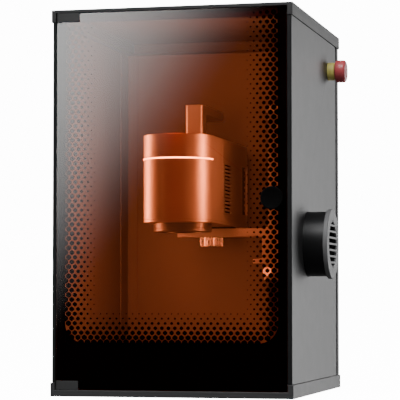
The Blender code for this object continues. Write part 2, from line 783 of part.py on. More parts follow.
def make_front_shell():
    """The round front of the head, hollow and open below, with a groove for the light ring."""
    low = HEAD_BOTTOM + 0.004 + GAP
    groove_low, groove_high = RING_HEIGHT - 0.0014, RING_HEIGHT + 0.0014
    wide = head_outline(HEAD_RADIUS, HEAD_SPLIT)
    inner = head_outline(HEAD_RADIUS - HEAD_WALL, HEAD_SPLIT - HEAD_WALL)
    levels = [
        (inner, HEAD_TOP - HEAD_WALL),
        (inner, low),
        (wide, low),
        (wide, HEAD_TOP - 0.0008),
        (head_outline(HEAD_RADIUS - 0.0008, HEAD_SPLIT), HEAD_TOP),
    ]
    shape = skin([[Vector((x, y, height)) for x, y in outline] for outline, height in levels])
    shell = piece("head_front_shell", shape, head_silver)
    band = arc((HEAD_X, HEAD_Y), HEAD_RADIUS - 0.0015, 360, 180, 28)
    band += arc((HEAD_X, HEAD_Y), HEAD_RADIUS + 0.006, 180, 360, 28)
    cut(shell, prism([band], "Z", groove_low, groove_high))
    beam = disc("Y", (BEAM_X, BEAM_Z), 0.006, HEAD_SPLIT - 0.01, HEAD_SPLIT + 0.01, 16)
    cut(shell, beam)


def make_light_ring():
    inner, outer = HEAD_RADIUS - 0.0012, HEAD_RADIUS + 0.0015
    outline = arc((HEAD_X, HEAD_Y), inner, 359.5, 180.5, 28) + arc((HEAD_X, HEAD_Y), outer, 180.5, 359.5, 28)
    piece("light_ring", prism([outline], "Z", RING_HEIGHT - 0.0011, RING_HEIGHT + 0.0011), ring_white)


def make_rear_housing():
    """The housing behind the round front, open below, with cooling slots in both sides."""
    low = HEAD_BOTTOM + 0.004 + GAP
    left, right = HEAD_X - HEAD_RADIUS, HEAD_X + HEAD_RADIUS
    top = HEAD_TOP
    edge = 0.0008
    section = [
        (left, low),
        (left, top - edge),
        (left + edge, top),
        (right - edge, top),
        (right, top - edge),
        (right, low),
        (right - HEAD_WALL, low),
        (right - HEAD_WALL, top - HEAD_WALL),
        (left + HEAD_WALL, top - HEAD_WALL),
        (left + HEAD_WALL, low),
    ]
    housing = piece("head_rear_housing", prism([section], "Y", HEAD_SPLIT + GAP, HEAD_BACK), head_silver)
    slots = []
    for row in range(14):
        height = 0.2960 + 0.0059 * row
        low_corner = (left - 0.01, 0.192, height)
        slots.append(block(low_corner, (right + 0.01, 0.244, height + 0.0027)))
    cut(housing, *slots)


def make_rear_cover():
    """The end of the head: a cap with a window in each side and an intake grille at its back."""
    left, right = HEAD_X - HEAD_RADIUS, HEAD_X + HEAD_RADIUS
    front = HEAD_BACK + GAP
    box = block((left, front, HEAD_BOTTOM), (right, HEAD_END, HEAD_TOP))
    cover = piece("head_rear_cover", box, head_silver)
    wall = HEAD_WALL
    hollow_low = (left + wall, front - 0.01, HEAD_BOTTOM + wall)
    cut(cover, block(hollow_low, (right - wall, HEAD_END - wall, HEAD_TOP - wall)))
    cut(cover, block((left - 0.01, front + 0.006, 0.298), (right + 0.01, HEAD_END - wall - 0.001, 0.380)))
    slots = []
    for row in range(7):
        height = 0.3125 + 0.009 * row
        low = (HEAD_X - 0.030, HEAD_END - 0.01, height)
        high = (HEAD_X + 0.030, HEAD_END + 0.01, height + 0.0045)
        slots.append(block(low, high))
    cut(cover, *slots)


def make_fan_shroud():
    """The black fan housing inside the rear cover, seen through its side windows, and its rotor."""
    left, right = HEAD_X - HEAD_RADIUS + HEAD_WALL + GAP, HEAD_X + HEAD_RADIUS - HEAD_WALL - GAP
    front, back = HEAD_BACK + 0.004, HEAD_END - 0.0060
    centre = (HEAD_X, 0.339)
    bore = circle(centre, 0.0385, 28)
    section = box_outline(left, HEAD_BOTTOM + HEAD_WALL + GAP, right, 0.386)
    shroud = piece("fan_shroud", prism([section, bore], "Y", front, back), fan_black)
    join(shroud, *spider("Y", centre, 0.014, 0.0395, front, front + 0.003, 0.004))
    hub = disc("Y", centre, 0.0135, front + 0.0036, front + 0.018, 20)
    rotor = piece("cooling_fan_rotor", hub, fan_black, (HEAD_X, front, centre[1]))
    join(rotor, *blades("Y", centre, front + 0.0045, front + 0.017, 0.012, 0.0365, 7, 0.0014, 50))


def make_handle():
    """A carrying handle: a post on the head's top and a bar running back over it, free at its end."""
    half = 0.01545
    front, post_back, end = 0.213, 0.238, 0.371
    bar_low, top = 0.4623, 0.477
    side = [
        (front, HEAD_TOP + GAP),
        (post_back, HEAD_TOP + GAP),
        (post_back, bar_low - 0.004),
        (post_back + 0.004, bar_low),
        (end, bar_low),
        (end, top),
        (front, top),
    ]
    handle = piece("handle", prism([side], "X", HEAD_X - half, HEAD_X + half), head_silver)
    plan = rounded_outline(HEAD_X - half, front, HEAD_X + half, end, 0.006, 4)
    boolean(handle, prism([plan], "Z", HEAD_TOP - 0.01, top + 0.01), "INTERSECT")


def make_lens():
    centre = (HEAD_X, LENS_Y)
    collar = [
        (0.0375, COLLAR_BOTTOM),
        (COLLAR_RADIUS - 0.001, COLLAR_BOTTOM),
        (COLLAR_RADIUS, COLLAR_BOTTOM + 0.001),
        (COLLAR_RADIUS, HEAD_BOTTOM - GAP),
        (0.0400, HEAD_BOTTOM - GAP),
        (0.0400, COLLAR_BOTTOM + 0.0018),
        (0.0375, COLLAR_BOTTOM + 0.0018),
    ]
    piece("lens_collar", turned(collar, "Z", centre, 40, ring=True), collar_grey)
    bottom = COLLAR_BOTTOM + 0.0018 + GAP
    lens = [
        (0, bottom + 0.0005),
        (0.0370, bottom + 0.0005),
        (0.0396, bottom + 0.0005),
        (0.0396, bottom + 0.0070),
        (0.0280, bottom + 0.0090),
        (0, bottom + 0.0105),
    ]
    piece("scan_lens", turned(lens, "Z", centre, 32), lens_glass)


def make_galvos():
    """The scanning block. Its first mirror turns the beam to the right, its second turns it down."""
    low = HEAD_BOTTOM + 0.004 + GAP
    top, bridge = 0.340, 0.318
    front, back = 0.152, 0.176
    section = [
        (0.168, low),
        (0.228, low),
        (0.228, low + 0.010),
        (0.205, low + 0.010),
        (0.205, top),
        (0.145, top),
        (0.145, bridge),
        (0.168, bridge),
    ]
    holder = piece("galvo_block", prism([section], "Y", front, back), bed_aluminium)
    join(holder, block((0.145, 0.127, bridge), (0.172, front + 0.004, top)))
    tilted_mirror("galvo_mirror_x", "Z", (BEAM_X, LENS_Y), bridge - GAP, BEAM_Z - 0.008, 0.010)
    tilted_mirror("galvo_mirror_y", "Y", (HEAD_X, BEAM_Z), front - GAP, LENS_Y - 0.010, 0.014)


def tilted_mirror(name, axis, centre, start, end, wide):
    """A mirror tilted by 45 degrees about its shaft, which starts at the scanner block."""
    shaft = sorted((start, start + (end - start) * 0.4))
    plate = sorted((start + (end - start) * 0.3, end))
    mirror = piece(name, disc(axis, centre, 0.0025, *shaft, 12), mirror_glass, spatial(centre, start, axis))
    half, thin = wide / 2, 0.0008
    corners = []
    for along, across in ((-half, -thin), (half, -thin), (half, thin), (-half, thin)):
        corners.append((centre[0] + (along - across) * DIAGONAL, centre[1] + (along + across) * DIAGONAL))
    join(mirror, prism([corners], axis, *plate))


def make_laser_module():
    """The laser source, with cooling fins along its top."""
    left, right = 0.149, 0.209
    fins = 6
    pitch = (right - left) / (fins - 0.5)
    low = HEAD_BOTTOM + 0.004 + GAP
    section = [(left, low), (right, low)]
    for fin in reversed(range(fins)):
        fin_left = left + pitch * fin
        fin_right = fin_left + pitch / 2
        section += [(fin_right, 0.395), (fin_left, 0.395)]
        if fin:
            section += [(fin_left, 0.355), (fin_left - pitch / 2, 0.355)]
    piece("laser_module", prism([section], "Y", 0.186, 0.316), bed_aluminium)


for leftover in list(bpy.data.objects):
    bpy.data.objects.remove(leftover, do_unlink=True)

root = bpy.data.objects.new("laser_cutter", None)
root.location = -ORIGIN
bpy.context.scene.collection.objects.link(root)

moulded_grey = material("moulded_grey", (0.062, 0.062, 0.064), 0.42)
panel_grey = material("panel_grey", (0.085, 0.085, 0.087), 0.38, 0.2)
post_black = material("post_black", (0.018, 0.018, 0.020), 0.35, 0.3)
hinge_black = material("hinge_black", (0.045, 0.045, 0.047), 0.45)
pull_black = material("pull_black", (0.004, 0.004, 0.004), 0.55)
black_rubber = material("black_rubber", (0.015, 0.015, 0.015), 0.8)
door_acrylic = material("door_acrylic", (0.75, 0.17, 0.03), 0.05, alpha=0.45)
light_white = material("light_white", (0.85, 0.87, 0.90), 0.5, glow=1.0)
steel = material("steel", (0.55, 0.55, 0.56), 0.3, 1.0)
chrome = material("chrome", (0.80, 0.80, 0.82), 0.12, 1.0)
brass = material("brass", (0.70, 0.48, 0.18), 0.3, 1.0)
stop_yellow = material("stop_yellow", (0.62, 0.50, 0.04), 0.4)
stop_red = material("stop_red", (0.55, 0.02, 0.03), 0.35)
duct_black = material("duct_black", (0.012, 0.012, 0.013), 0.4)
duct_grey = material("duct_grey", (0.16, 0.16, 0.17), 0.5)
fan_black = material("fan_black", (0.014, 0.014, 0.015), 0.5)
stand_black = material("stand_black", (0.022, 0.022, 0.024), 0.45, 0.5)
bed_aluminium = material("bed_aluminium", (0.62, 0.63, 0.65), 0.35, 1.0)
arm_silver = material("arm_silver", (0.52, 0.53, 0.55), 0.38, 1.0)
head_silver = material("head_silver", (0.60, 0.60, 0.62), 0.32, 0.9)
collar_grey = material("collar_grey", (0.36, 0.36, 0.38), 0.3, 0.9)
ring_white = material("ring_white", (1.0, 1.0, 1.0), 0.4, glow=3.0)
lens_glass = material("lens_glass", (0.55, 0.75, 0.70), 0.05, alpha=0.4)
mirror_glass = material("mirror_glass", (0.90, 0.90, 0.92), 0.02, 1.0)

make_base()
make_lid()
make_feet()
make_side_panels()
make_rear_panel()
make_grommet()
make_posts()
make_chamber_light()
make_door()
make_hinges()
make_pull()
make_catch()
make_emergency_stop()
make_duct()
make_exhaust_fan()
make_stand_base()
make_work_bed()
make_column()
make_lead_screw()
make_carriage()
make_arm()
make_knobs()
make_head_base()
make_front_shell()
make_light_ring()
make_rear_housing()
make_rear_cover()
make_fan_shroud()
make_handle()
make_lens()
make_galvos()
make_laser_module()
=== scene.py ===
"""Looks of the desktop laser cutter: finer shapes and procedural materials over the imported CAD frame.

Shapes are placed in the cabinet's own coordinates, x from its left side, y from its front and z
from the table, and moved into the frame's coordinates when they are added.
"""

import math

import bmesh
import bpy
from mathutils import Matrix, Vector
from mathutils.geometry import tessellate_polygon


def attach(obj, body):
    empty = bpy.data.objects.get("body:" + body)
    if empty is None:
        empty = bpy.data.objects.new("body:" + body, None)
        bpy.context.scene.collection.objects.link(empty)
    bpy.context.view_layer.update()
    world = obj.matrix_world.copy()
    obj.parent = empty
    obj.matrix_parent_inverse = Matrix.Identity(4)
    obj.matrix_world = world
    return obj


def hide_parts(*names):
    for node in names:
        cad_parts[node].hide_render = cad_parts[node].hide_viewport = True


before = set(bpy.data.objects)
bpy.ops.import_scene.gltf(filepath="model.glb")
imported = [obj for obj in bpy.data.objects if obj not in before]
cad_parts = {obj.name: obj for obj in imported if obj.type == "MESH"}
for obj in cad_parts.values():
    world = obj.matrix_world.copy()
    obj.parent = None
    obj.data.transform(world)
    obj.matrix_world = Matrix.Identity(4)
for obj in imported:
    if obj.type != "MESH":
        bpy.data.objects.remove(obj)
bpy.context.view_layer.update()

ORIGIN = Vector((0.213, 0.213, 0))
WIDTH, DEPTH, HEIGHT = 0.388, 0.430, 0.610
GAP = 0.0003
OVERHANG = 0.002
SHEET = 0.0015
BASE_TOP, LID_BOTTOM = 0.0227, 0.5902
BASE_LIP, LID_LIP = 0.0112, 0.6048
REBATE, CAP_LEFT, CAP_RIGHT = 0.0083, 0.0072, 0.0084
RIM = 0.022
PANEL_OUT = WIDTH - OVERHANG
PANEL_LOW, PANEL_HIGH = BASE_TOP + GAP, LID_BOTTOM - GAP
DOOR_LEFT, DOOR_RIGHT = 0.0088, 0.3778
DOOR_FRONT, ACRYLIC = 0.0018, 0.004
DOOR_BACK = DOOR_FRONT + ACRYLIC
HINGE = (0.012, 0.004)
HINGE_RIGHT, HINGE_BLOCK, HINGE_TALL, HINGE_WEB = 0.0456, 0.0167, 0.0140, 0.0022
PULL = (0.3553, 0.3083)
DUCT, DUCT_RADIUS, DUCT_REACH = (0.139, 0.241), 0.0515, 0.426
STOP, STOP_RADIUS, STOP_FACE = (0.328, 0.5393), 0.019, 0.4173
GROMMET = (0.060, 0.047)
REAR_FLANGE = 0.0235
HEAD_X, HEAD_Y, HEAD_RADIUS = 0.179, 0.114, 0.0567
HEAD_BOTTOM, HEAD_TOP, HEAD_WALL = 0.276, 0.4165, 0.0025
HEAD_LOW = HEAD_BOTTOM + 0.004 + GAP
HEAD_SPLIT, HEAD_BACK, HEAD_END = 0.180, 0.325, 0.372
RING_HEIGHT = 0.3776
LENS_Y, COLLAR_RADIUS, COLLAR_BOTTOM = 0.139, 0.0473, 0.2616
BEAM_X, BEAM_Z = 0.157, 0.305
COLUMN_X, COLUMN_Y, COLUMN_HALF, COLUMN_TOP = 0.3063, 0.3223, 0.020, 0.470
SCREW = (0.3063, 0.358)
ARM_FRONT, ARM_LOW, ARM_HIGH = 0.285, 0.2588, 0.2728
CLAMP, LOCK = (0.1885, 0.303), (0.2903, 0.1996)
BACKDROP_GLOW = 14.0
BEHIND_PANE, INK = 0.00004, 0.0001
CARD_SLANT = (0.8289, 0.0, -0.5594)
CARD_DARK, CARD_BRIGHT = -0.872, -1.410


# Shapes


def spatial(pair, along, axis):
    u, v = pair
    return Vector({"X": (along, u, v), "Y": (u, along, v), "Z": (u, v, along)}[axis])


def box_outline(left, low, right, high):
    return [(left, low), (right, low), (right, high), (left, high)]


def arc(centre, radius, start, end, steps):
    points = []
    for step in range(steps + 1):
        angle = math.radians(start + (end - start) * step / steps)
        points.append((centre[0] + radius * math.cos(angle), centre[1] + radius * math.sin(angle)))
    return points


def circle(centre, radius, steps=64):
    return arc(centre, radius, 0, 360, steps)[:-1]


def corners_about(centre, reach):
    """Four places, one toward each corner of a square round a centre."""
    return [(centre[0] + a * reach, centre[1] + b * reach) for a in (-1, 1) for b in (-1, 1)]


def rounded_outline(left, low, right, high, radius, steps=8):
    corners = [
        (right - radius, low + radius, -90),
        (right - radius, high - radius, 0),
        (left + radius, high - radius, 90),
        (left + radius, low + radius, 180),
    ]
    return [p for x, y, start in corners for p in arc((x, y), radius, start, start + 90, steps)]


def fluted_outline(centre, outer, inner, flutes):
    """A round grip with scooped flutes."""
    points = []
    for flute in range(flutes):
        for share, deep in ((0, 0), (0.2, 0), (0.4, 0.12), (0.55, 0.7), (0.7, 1), (0.85, 0.7)):
            angle = math.tau * (flute + share) / flutes
            radius = outer + (inner - outer) * deep
            points.append((centre[0] + radius * math.cos(angle), centre[1] + radius * math.sin(angle)))
    return points


def prism(loops, axis, low, high):
    """A plate between two places on an axis. The first loop is its outline, the others are holes."""
    bm = bmesh.new()
    if len(loops) == 1:
        caps = [tuple(range(len(loops[0])))]
    else:
        caps = tessellate_polygon([[Vector((u, v, 0)) for u, v in loop] for loop in loops])
    rows = []
    for along in (low, high):
        row = [bm.verts.new(spatial(pair, along, axis)) for loop in loops for pair in loop]
        for cap in caps:
            bm.faces.new([row[corner] for corner in cap])
        rows.append(row)
    first = 0
    for loop in loops:
        for step in range(len(loop)):
            i, j = first + step, first + (step + 1) % len(loop)
            bm.faces.new((rows[0][i], rows[0][j], rows[1][j], rows[1][i]))
        first += len(loop)
    bmesh.ops.recalc_face_normals(bm, faces=bm.faces)
    return bm


def block(low, high):
    return prism([box_outline(low[0], low[1], high[0], high[1])], "Z", low[2], high[2])


def turned(profile, axis, centre, steps=72, ring=False):
    """A turned shape from (radius, place along the axis) pairs."""
    bm = bmesh.new()
    outward = spatial((1, 0), 0, axis)
    verts = [bm.verts.new(spatial(centre, along, axis) + outward * radius) for radius, along in profile]
    followers = verts[1:] + verts[:1] if ring else verts[1:]
    edges = [bm.edges.new(pair) for pair in zip(verts, followers)]
    middle = spatial(centre, 0, axis)
    spin = {"axis": spatial((0, 0), 1, axis), "angle": math.tau, "steps": steps, "use_merge": True}
    bmesh.ops.spin(bm, geom=verts + edges, cent=middle, **spin)
    bmesh.ops.remove_doubles(bm, verts=bm.verts, dist=1e-6)
    bmesh.ops.recalc_face_normals(bm, faces=bm.faces)
    return bm


def disc(axis, centre, radius, low, high, steps=48):
    return turned([(0, low), (radius, low), (radius, high), (0, high)], axis, centre, steps)


def skin(rings):
    """A shell through rings of points of equal count, with its first and last ring filled."""
    bm = bmesh.new()
    rows = [[bm.verts.new(point) for point in ring] for ring in rings]
    for lower, upper in zip(rows, rows[1:]):
        for i in range(len(lower)):
            j = (i + 1) % len(lower)
            bm.faces.new((lower[i], lower[j], upper[j], upper[i]))
    bm.faces.new(rows[0])
    bm.faces.new(rows[-1])
    bmesh.ops.recalc_face_normals(bm, faces=bm.faces)
    return bm


def merged(shapes):
    whole = bmesh.new()
    for shape in shapes:
        mesh = bpy.data.meshes.new("share")
        shape.to_mesh(mesh)
        shape.free()
        whole.from_mesh(mesh)
        bpy.data.meshes.remove(mesh)
    return whole


def combined(base, tools, operation="DIFFERENCE"):
    """The base shape after each tool shape is cut from it, joined to it or crossed with it."""
    made = []
    for shape in [base, *tools]:
        mesh = bpy.data.meshes.new("tool")
        shape.to_mesh(mesh)
        shape.free()
        obj = bpy.data.objects.new("tool", mesh)
        bpy.context.scene.collection.objects.link(obj)
        made.append(obj)
    for tool in made[1:]:
        modifier = made[0].modifiers.new("tool", "BOOLEAN")
        modifier.operation = operation
        modifier.solver = "EXACT"
        modifier.object = tool
    bpy.context.view_layer.update()
    evaluated = made[0].evaluated_get(bpy.context.evaluated_depsgraph_get())
    result = bmesh.new()
    result.from_mesh(evaluated.to_mesh())
    evaluated.to_mesh_clear()
    for obj in made:
        mesh = obj.data
        bpy.data.objects.remove(obj)
        bpy.data.meshes.remove(mesh)
    bmesh.ops.dissolve_limit(result, angle_limit=math.radians(0.5), verts=result.verts, edges=result.edges)
    return result


def round_edges(obj, width, segments):
    modifier = obj.modifiers.new("rounding", "BEVEL")
    modifier.width = width
    modifier.segments = segments
    modifier.limit_method = "ANGLE"
    modifier.angle_limit = math.radians(32)
    modifier.harden_normals = True


def add(name, bm, finish, body, nodes=(), bevel=0.0004, segments=2):
    """Adds a piece that rides a body and stands for CAD nodes, with its sharp edges rounded."""
    bmesh.ops.translate(bm, verts=bm.verts, vec=-ORIGIN)
    mesh = bpy.data.meshes.new(name)
    bm.to_mesh(mesh)
    bm.free()
    mesh.materials.append(finish)
    mesh.shade_smooth()
    obj = bpy.data.objects.new(name, mesh)
    bpy.context.scene.collection.objects.link(obj)
    if bevel:
        round_edges(obj, bevel, segments)
    else:
        mesh.set_sharp_from_angle(angle=math.radians(35))
    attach(obj, body)
    if nodes:
        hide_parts(*nodes)
    return obj


def keep(node, finish, bevel):
    """Dresses a CAD node that stays in view: its edges rounded and its material detailed."""
    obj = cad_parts[node]
    weld = obj.modifiers.new("weld", "WELD")
    weld.merge_threshold = 1e-5
    round_edges(obj, bevel, 2)
    for place in obj.material_slots:
        place.link = "OBJECT"
        place.material = finish


# Materials


class Graph:
    """A short way to add and link shader nodes."""

    def __init__(self, name):
        self.material = bpy.data.materials.new(name)
        self.material.use_nodes = True
        self.tree = self.material.node_tree
        self.tree.nodes.clear()
        self.output = self.tree.nodes.new("ShaderNodeOutputMaterial")

    def node(self, kind, inputs=None, **settings):
        made = self.tree.nodes.new(kind)
        for key, value in settings.items():
            setattr(made, key, value)
        for key, value in (inputs or {}).items():
            if isinstance(value, bpy.types.NodeSocket):
                self.tree.links.new(value, made.inputs[key])
            else:
                made.inputs[key].default_value = value
        return made

    def math(self, operation, a, b=0.0, clamp=False):
        return self.node("ShaderNodeMath", {0: a, 1: b}, operation=operation, use_clamp=clamp).outputs[0]

    def mix(self, factor, a, b):
        made = self.node("ShaderNodeMix", {"Factor": factor}, data_type="RGBA")
        for key, value in ((6, a), (7, b)):
            if isinstance(value, bpy.types.NodeSocket):
                self.tree.links.new(value, made.inputs[key])
            else:
                made.inputs[key].default_value = (*value, 1)
        return made.outputs[2]

    def noise(self, vector, scale, detail=3.0):
        made = self.node("ShaderNodeTexNoise", {"Vector": vector, "Scale": scale, "Detail": detail})
        return made.outputs["Fac"]

    def ramp(self, value, low, high, to_low=0.0, to_high=1.0):
        inputs = {"Value": value, "From Min": low, "From Max": high, "To Min": to_low, "To Max": to_high}
        return self.node("ShaderNodeMapRange", inputs, clamp=True).outputs["Result"]

    def place(self, stretch=(1, 1, 1)):
        coords = self.node("ShaderNodeTexCoord").outputs["Object"]
        return self.node("ShaderNodeMapping", {"Vector": coords, "Scale": stretch}).outputs["Vector"]

    def worn_edges(self, radius):
        """How strongly a point lies on an edge, from 0 to 1."""
        rounded = self.node("ShaderNodeBevel", {"Radius": radius}, samples=4).outputs["Normal"]
        true = self.node("ShaderNodeNewGeometry").outputs["Normal"]
        return self.ramp(self.dot(rounded, true), 0.995, 0.85)

    def dot(self, a, b):
        return self.node("ShaderNodeVectorMath", {0: a, 1: b}, operation="DOT_PRODUCT").outputs["Value"]

    def bump(self, strength, distance, height):
        made = self.node("ShaderNodeBump", {"Strength": strength, "Distance": distance, "Height": height})
        return made.outputs["Normal"]

    def emission(self, strength):
        return self.node("ShaderNodeEmission", {"Color": (1, 1, 1, 1), "Strength": strength})

    def shown(self, shader):
        """The material, with this shader on its surface."""
        self.tree.links.new(shader.outputs[0], self.output.inputs["Surface"])
        return self.material


def scaled(color, factor):
    return tuple(min(1.0, c * factor) for c in color)


def surface(
    name,
    color,
    roughness,
    metallic=0.0,
    spread=0.10,
    grain=1400.0,
    relief=0.12,
    wear=0.35,
    stretch=(1, 1, 1),
    coat=0.0,
    spec=0.5,
    smudges=0.15,
):
    """A solid finish: cloudy colour, fine grain in roughness and relief, and edges rubbed lighter."""
    graph = Graph(name)
    place = graph.place()
    clouds = graph.noise(place, 14.0, 4.0)
    speck = graph.noise(graph.place(stretch), grain, 2.0)
    smudge = graph.noise(place, 43.4, 5.0)
    tone = graph.mix(graph.ramp(clouds, 0.3, 0.7), scaled(color, 1 - spread), scaled(color, 1 + spread))
    tone = graph.mix(graph.ramp(speck, 0.35, 0.75, 0.0, 0.35), tone, scaled(color, 0.72))
    edges = graph.math("MULTIPLY", graph.worn_edges(0.0007), graph.ramp(smudge, 0.35, 0.7, 0.15, wear))
    tone = graph.mix(edges, tone, scaled(color, 2.2))
    rough = graph.ramp(smudge, 0.3, 0.7, roughness * (1 - smudges), min(1.0, roughness * (1 + smudges)))
    rough = graph.math("ADD", rough, graph.ramp(speck, 0.3, 0.7, -0.04, 0.04), clamp=True)
    inputs = {
        "Base Color": tone,
        "Roughness": rough,
        "Metallic": metallic,
        "Normal": graph.bump(relief, 0.0004, speck),
        "Coat Weight": coat,
        "Specular IOR Level": spec,
    }
    return graph.shown(graph.node("ShaderNodeBsdfPrincipled", inputs))


def acrylic(name, tint):
    """Clear tinted sheet: what lies behind it is seen through the tint, and its faces reflect."""
    graph = Graph(name)
    place = graph.place()
    smear = graph.noise(place, 9.0, 4.0)
    normal = graph.bump(0.0015, 0.0002, graph.noise(place, 260.0, 2.0))
    tone = graph.mix(graph.ramp(smear, 0.3, 0.7), scaled(tint, 0.99), scaled(tint, 1.01))
    rough = graph.ramp(smear, 0.25, 0.75, 0.035, 0.06)
    fresnel = graph.node("ShaderNodeFresnel", {"IOR": 1.49, "Normal": normal}).outputs[0]
    inner = graph.node("ShaderNodeNewGeometry").outputs["Backfacing"]
    fresnel = graph.math("MULTIPLY", fresnel, graph.math("SUBTRACT", 1.0, inner))
    clear = graph.node("ShaderNodeBsdfTransparent", {"Color": tone}).outputs[0]
    gloss = graph.node("ShaderNodeBsdfAnisotropic", {"Roughness": rough, "Normal": normal}).outputs[0]
    return graph.shown(graph.node("ShaderNodeMixShader", {0: fresnel, 1: clear, 2: gloss}))


def glowing(name, color, strength):
    """A lit diffuser, slightly uneven along its length."""
    graph = Graph(name)
    uneven = graph.noise(graph.place(), 60.0, 2.0)
    tone = graph.mix(graph.ramp(uneven, 0.3, 0.7), scaled(color, 0.96), color)
    inputs = {
        "Base Color": tone,
        "Roughness": 0.4,
        "Emission Color": tone,
        "Emission Strength": strength,
        "Normal": graph.bump(0.05, 0.0002, uneven),
    }
    return graph.shown(graph.node("ShaderNodeBsdfPrincipled", inputs))


moulded = {"spread": 0.04, "grain": 2200, "relief": 0.25, "smudges": 0.05}
coated = {"spread": 0.02, "grain": 2600, "relief": 0.05, "smudges": 0.03}
moulded_grey = surface("moulded_grey", (0.060, 0.060, 0.062), 0.45, **moulded)
# The lid is a darker copy of the moulded grey: painted shade for the light falling off toward the cabinet's
# top.
lid_grey_painted_shade = surface("moulded_grey", (0.040, 0.040, 0.041), 0.50, **moulded)
panel_grey = surface("panel_grey", (0.085, 0.085, 0.087), 0.45, 0.1, **coated)
post_black = surface("post_black", (0.020, 0.020, 0.021), 0.38, 0.1, grain=2400)
hinge_black = surface("hinge_black", (0.055, 0.055, 0.056), 0.45, grain=2000, relief=0.2)
pull_black = surface("pull_black", (0.0015, 0.0015, 0.0015), 0.7, spec=0.1, wear=0.05)
black_rubber = surface("black_rubber", (0.014, 0.014, 0.014), 0.8, spec=0.3, grain=900, relief=0.3)
door_acrylic = acrylic("door_acrylic", (0.975, 0.437, 0.238))
door_ink = surface("door_ink", (0.0012, 0.0012, 0.0012), 0.6, spec=0.05, wear=0.0)
light_white = glowing("light_white", (0.9, 0.93, 1.0), 0.6)
steel = surface("steel", (0.55, 0.55, 0.56), 0.28, 1.0, stretch=(1, 1, 0.05), relief=0.08)
chrome = surface("chrome", (0.80, 0.80, 0.82), 0.14, 1.0, spread=0.04, relief=0.03)
# A brighter, less metallic copy of the chrome: a painted highlight, so that the lock knob's face shows a
# bright glint under diffuse light.
chrome_painted_highlight = surface("chrome", (0.95, 0.95, 0.93), 0.30, 0.45, spread=0.04, relief=0.03)
brass = surface("brass", (0.68, 0.46, 0.18), 0.3, 1.0)
stop_yellow = surface("stop_yellow", (0.92, 0.80, 0.22), 0.4, coat=0.15)
stop_red = surface("stop_red", (0.70, 0.115, 0.125), 0.35, coat=0.2)
duct_black = surface("duct_black", (0.016, 0.016, 0.017), 0.36, relief=0.1)
duct_grey = surface("duct_grey", (0.22, 0.22, 0.225), 0.5, grain=2000)
fan_black = surface("fan_black", (0.012, 0.012, 0.013), 0.5, grain=1600)
fan_grey = surface("fan_black", (0.070, 0.070, 0.072), 0.5, grain=1600)
stand_black = surface("stand_black", (0.018, 0.018, 0.019), 0.4, 0.5, grain=1800)
bed_aluminium = surface("bed_aluminium", (0.60, 0.61, 0.63), 0.34, 1.0, stretch=(0.05, 1, 1))
arm_silver = surface("arm_silver", (0.52, 0.53, 0.55), 0.38, 0.93, grain=2000, relief=0.2)
silver, blasted = (0.62, 0.62, 0.64), {"grain": 2400, "wear": 0.15}
head_silver = surface("head_silver", silver, 0.42, 0.993, spread=0.02, smudges=0.04, **blasted)
handle_silver = surface("head_silver", silver, 0.42, 0.94, spread=0.03, **blasted)
collar_grey = surface("collar_grey", (0.22, 0.22, 0.23), 0.4, 0.97, spread=0.05, stretch=(1, 1, 12))
ring_white = glowing("ring_white", (1.0, 1.0, 1.0), 8.0)
lens_glass = acrylic("lens_glass", (0.75, 0.88, 0.86))
mirror_glass = surface("mirror_glass", (0.9, 0.9, 0.92), 0.03, 1.0, spread=0.01, relief=0.0)


# Fasteners


def cap_screw(axis, centre, face, out, radius=0.0027, tall=0.0022):
    """A socket-head screw on a face. out is 1 or -1, the way the head stands out along the axis."""
    top = face + out * tall
    floor = face + out * tall * 0.45
    socket = radius * 0.5
    profile = [
        (0, floor),
        (socket, floor),
        (socket, top),
        (radius * 0.86, top),
        (radius, top - out * radius * 0.14),
        (radius, face - out * 0.0002),
        (0, face - out * 0.0002),
    ]
    return turned(profile, axis, centre, 24)


def add_screws(name, axis, places, face, out, body, radius=0.0027, tall=0.0022, finish=None):
    shapes = [cap_screw(axis, place, face, out, radius, tall) for place in places]
    add(name, merged(shapes), finish or steel, body, bevel=0)


# Cabinet


def foot_centres():
    inset = 0.030
    return [(x, y) for y in (inset, DEPTH - inset) for x in (inset, WIDTH - inset)]


def make_base_and_lid():
    over, under = BASE_TOP + 0.01, LID_BOTTOM - 0.01
    base = block((0, 0, 0.001), (WIDTH, DEPTH, BASE_TOP))
    cutters = [
        block((RIM, RIM + 0.004, 0.0055), (WIDTH - RIM, DEPTH - 0.026, over)),
        block((CAP_LEFT, -0.01, BASE_LIP), (WIDTH - CAP_RIGHT, REBATE, over)),
        merged([disc("Z", centre, 0.0103, -0.01, 0.0026) for centre in foot_centres()]),
        disc("Z", HINGE, 0.0023, 0.0027, over, 24),
    ]
    add("base_shell", combined(base, cutters), moulded_grey, "cabinet", ["base_tray"], 0.0012, 4)
    lid = block((0, 0, LID_BOTTOM), (WIDTH, DEPTH, HEIGHT))
    cutters = [
        block((RIM, RIM + 0.004, under), (WIDTH - RIM, DEPTH - 0.026, 0.607)),
        block((CAP_LEFT, -0.01, under), (WIDTH - CAP_RIGHT, REBATE, LID_LIP)),
        disc("Z", HINGE, 0.0023, under, 0.6085, 24),
    ]
    # The lid takes the darker copy of the moulded grey, painted shade for the top of the cabinet.
    add("lid_shell", combined(lid, cutters), lid_grey_painted_shade, "cabinet", ["top_cover"], 0.0012, 4)
    names = ("foot_front_left", "foot_front_right", "foot_rear_left", "foot_rear_right")
    for name, centre in zip(names, foot_centres()):
        profile = [(0, 0.0003), (0.0055, 0.0003), (0.006, 0), (0.009, 0), (0.010, 0.0008)]
        profile += [(0.010, 0.0023), (0, 0.0023)]
        add(f"{name}_pad", turned(profile, "Z", centre, 48), black_rubber, "cabinet", [name], 0.0001, 1)


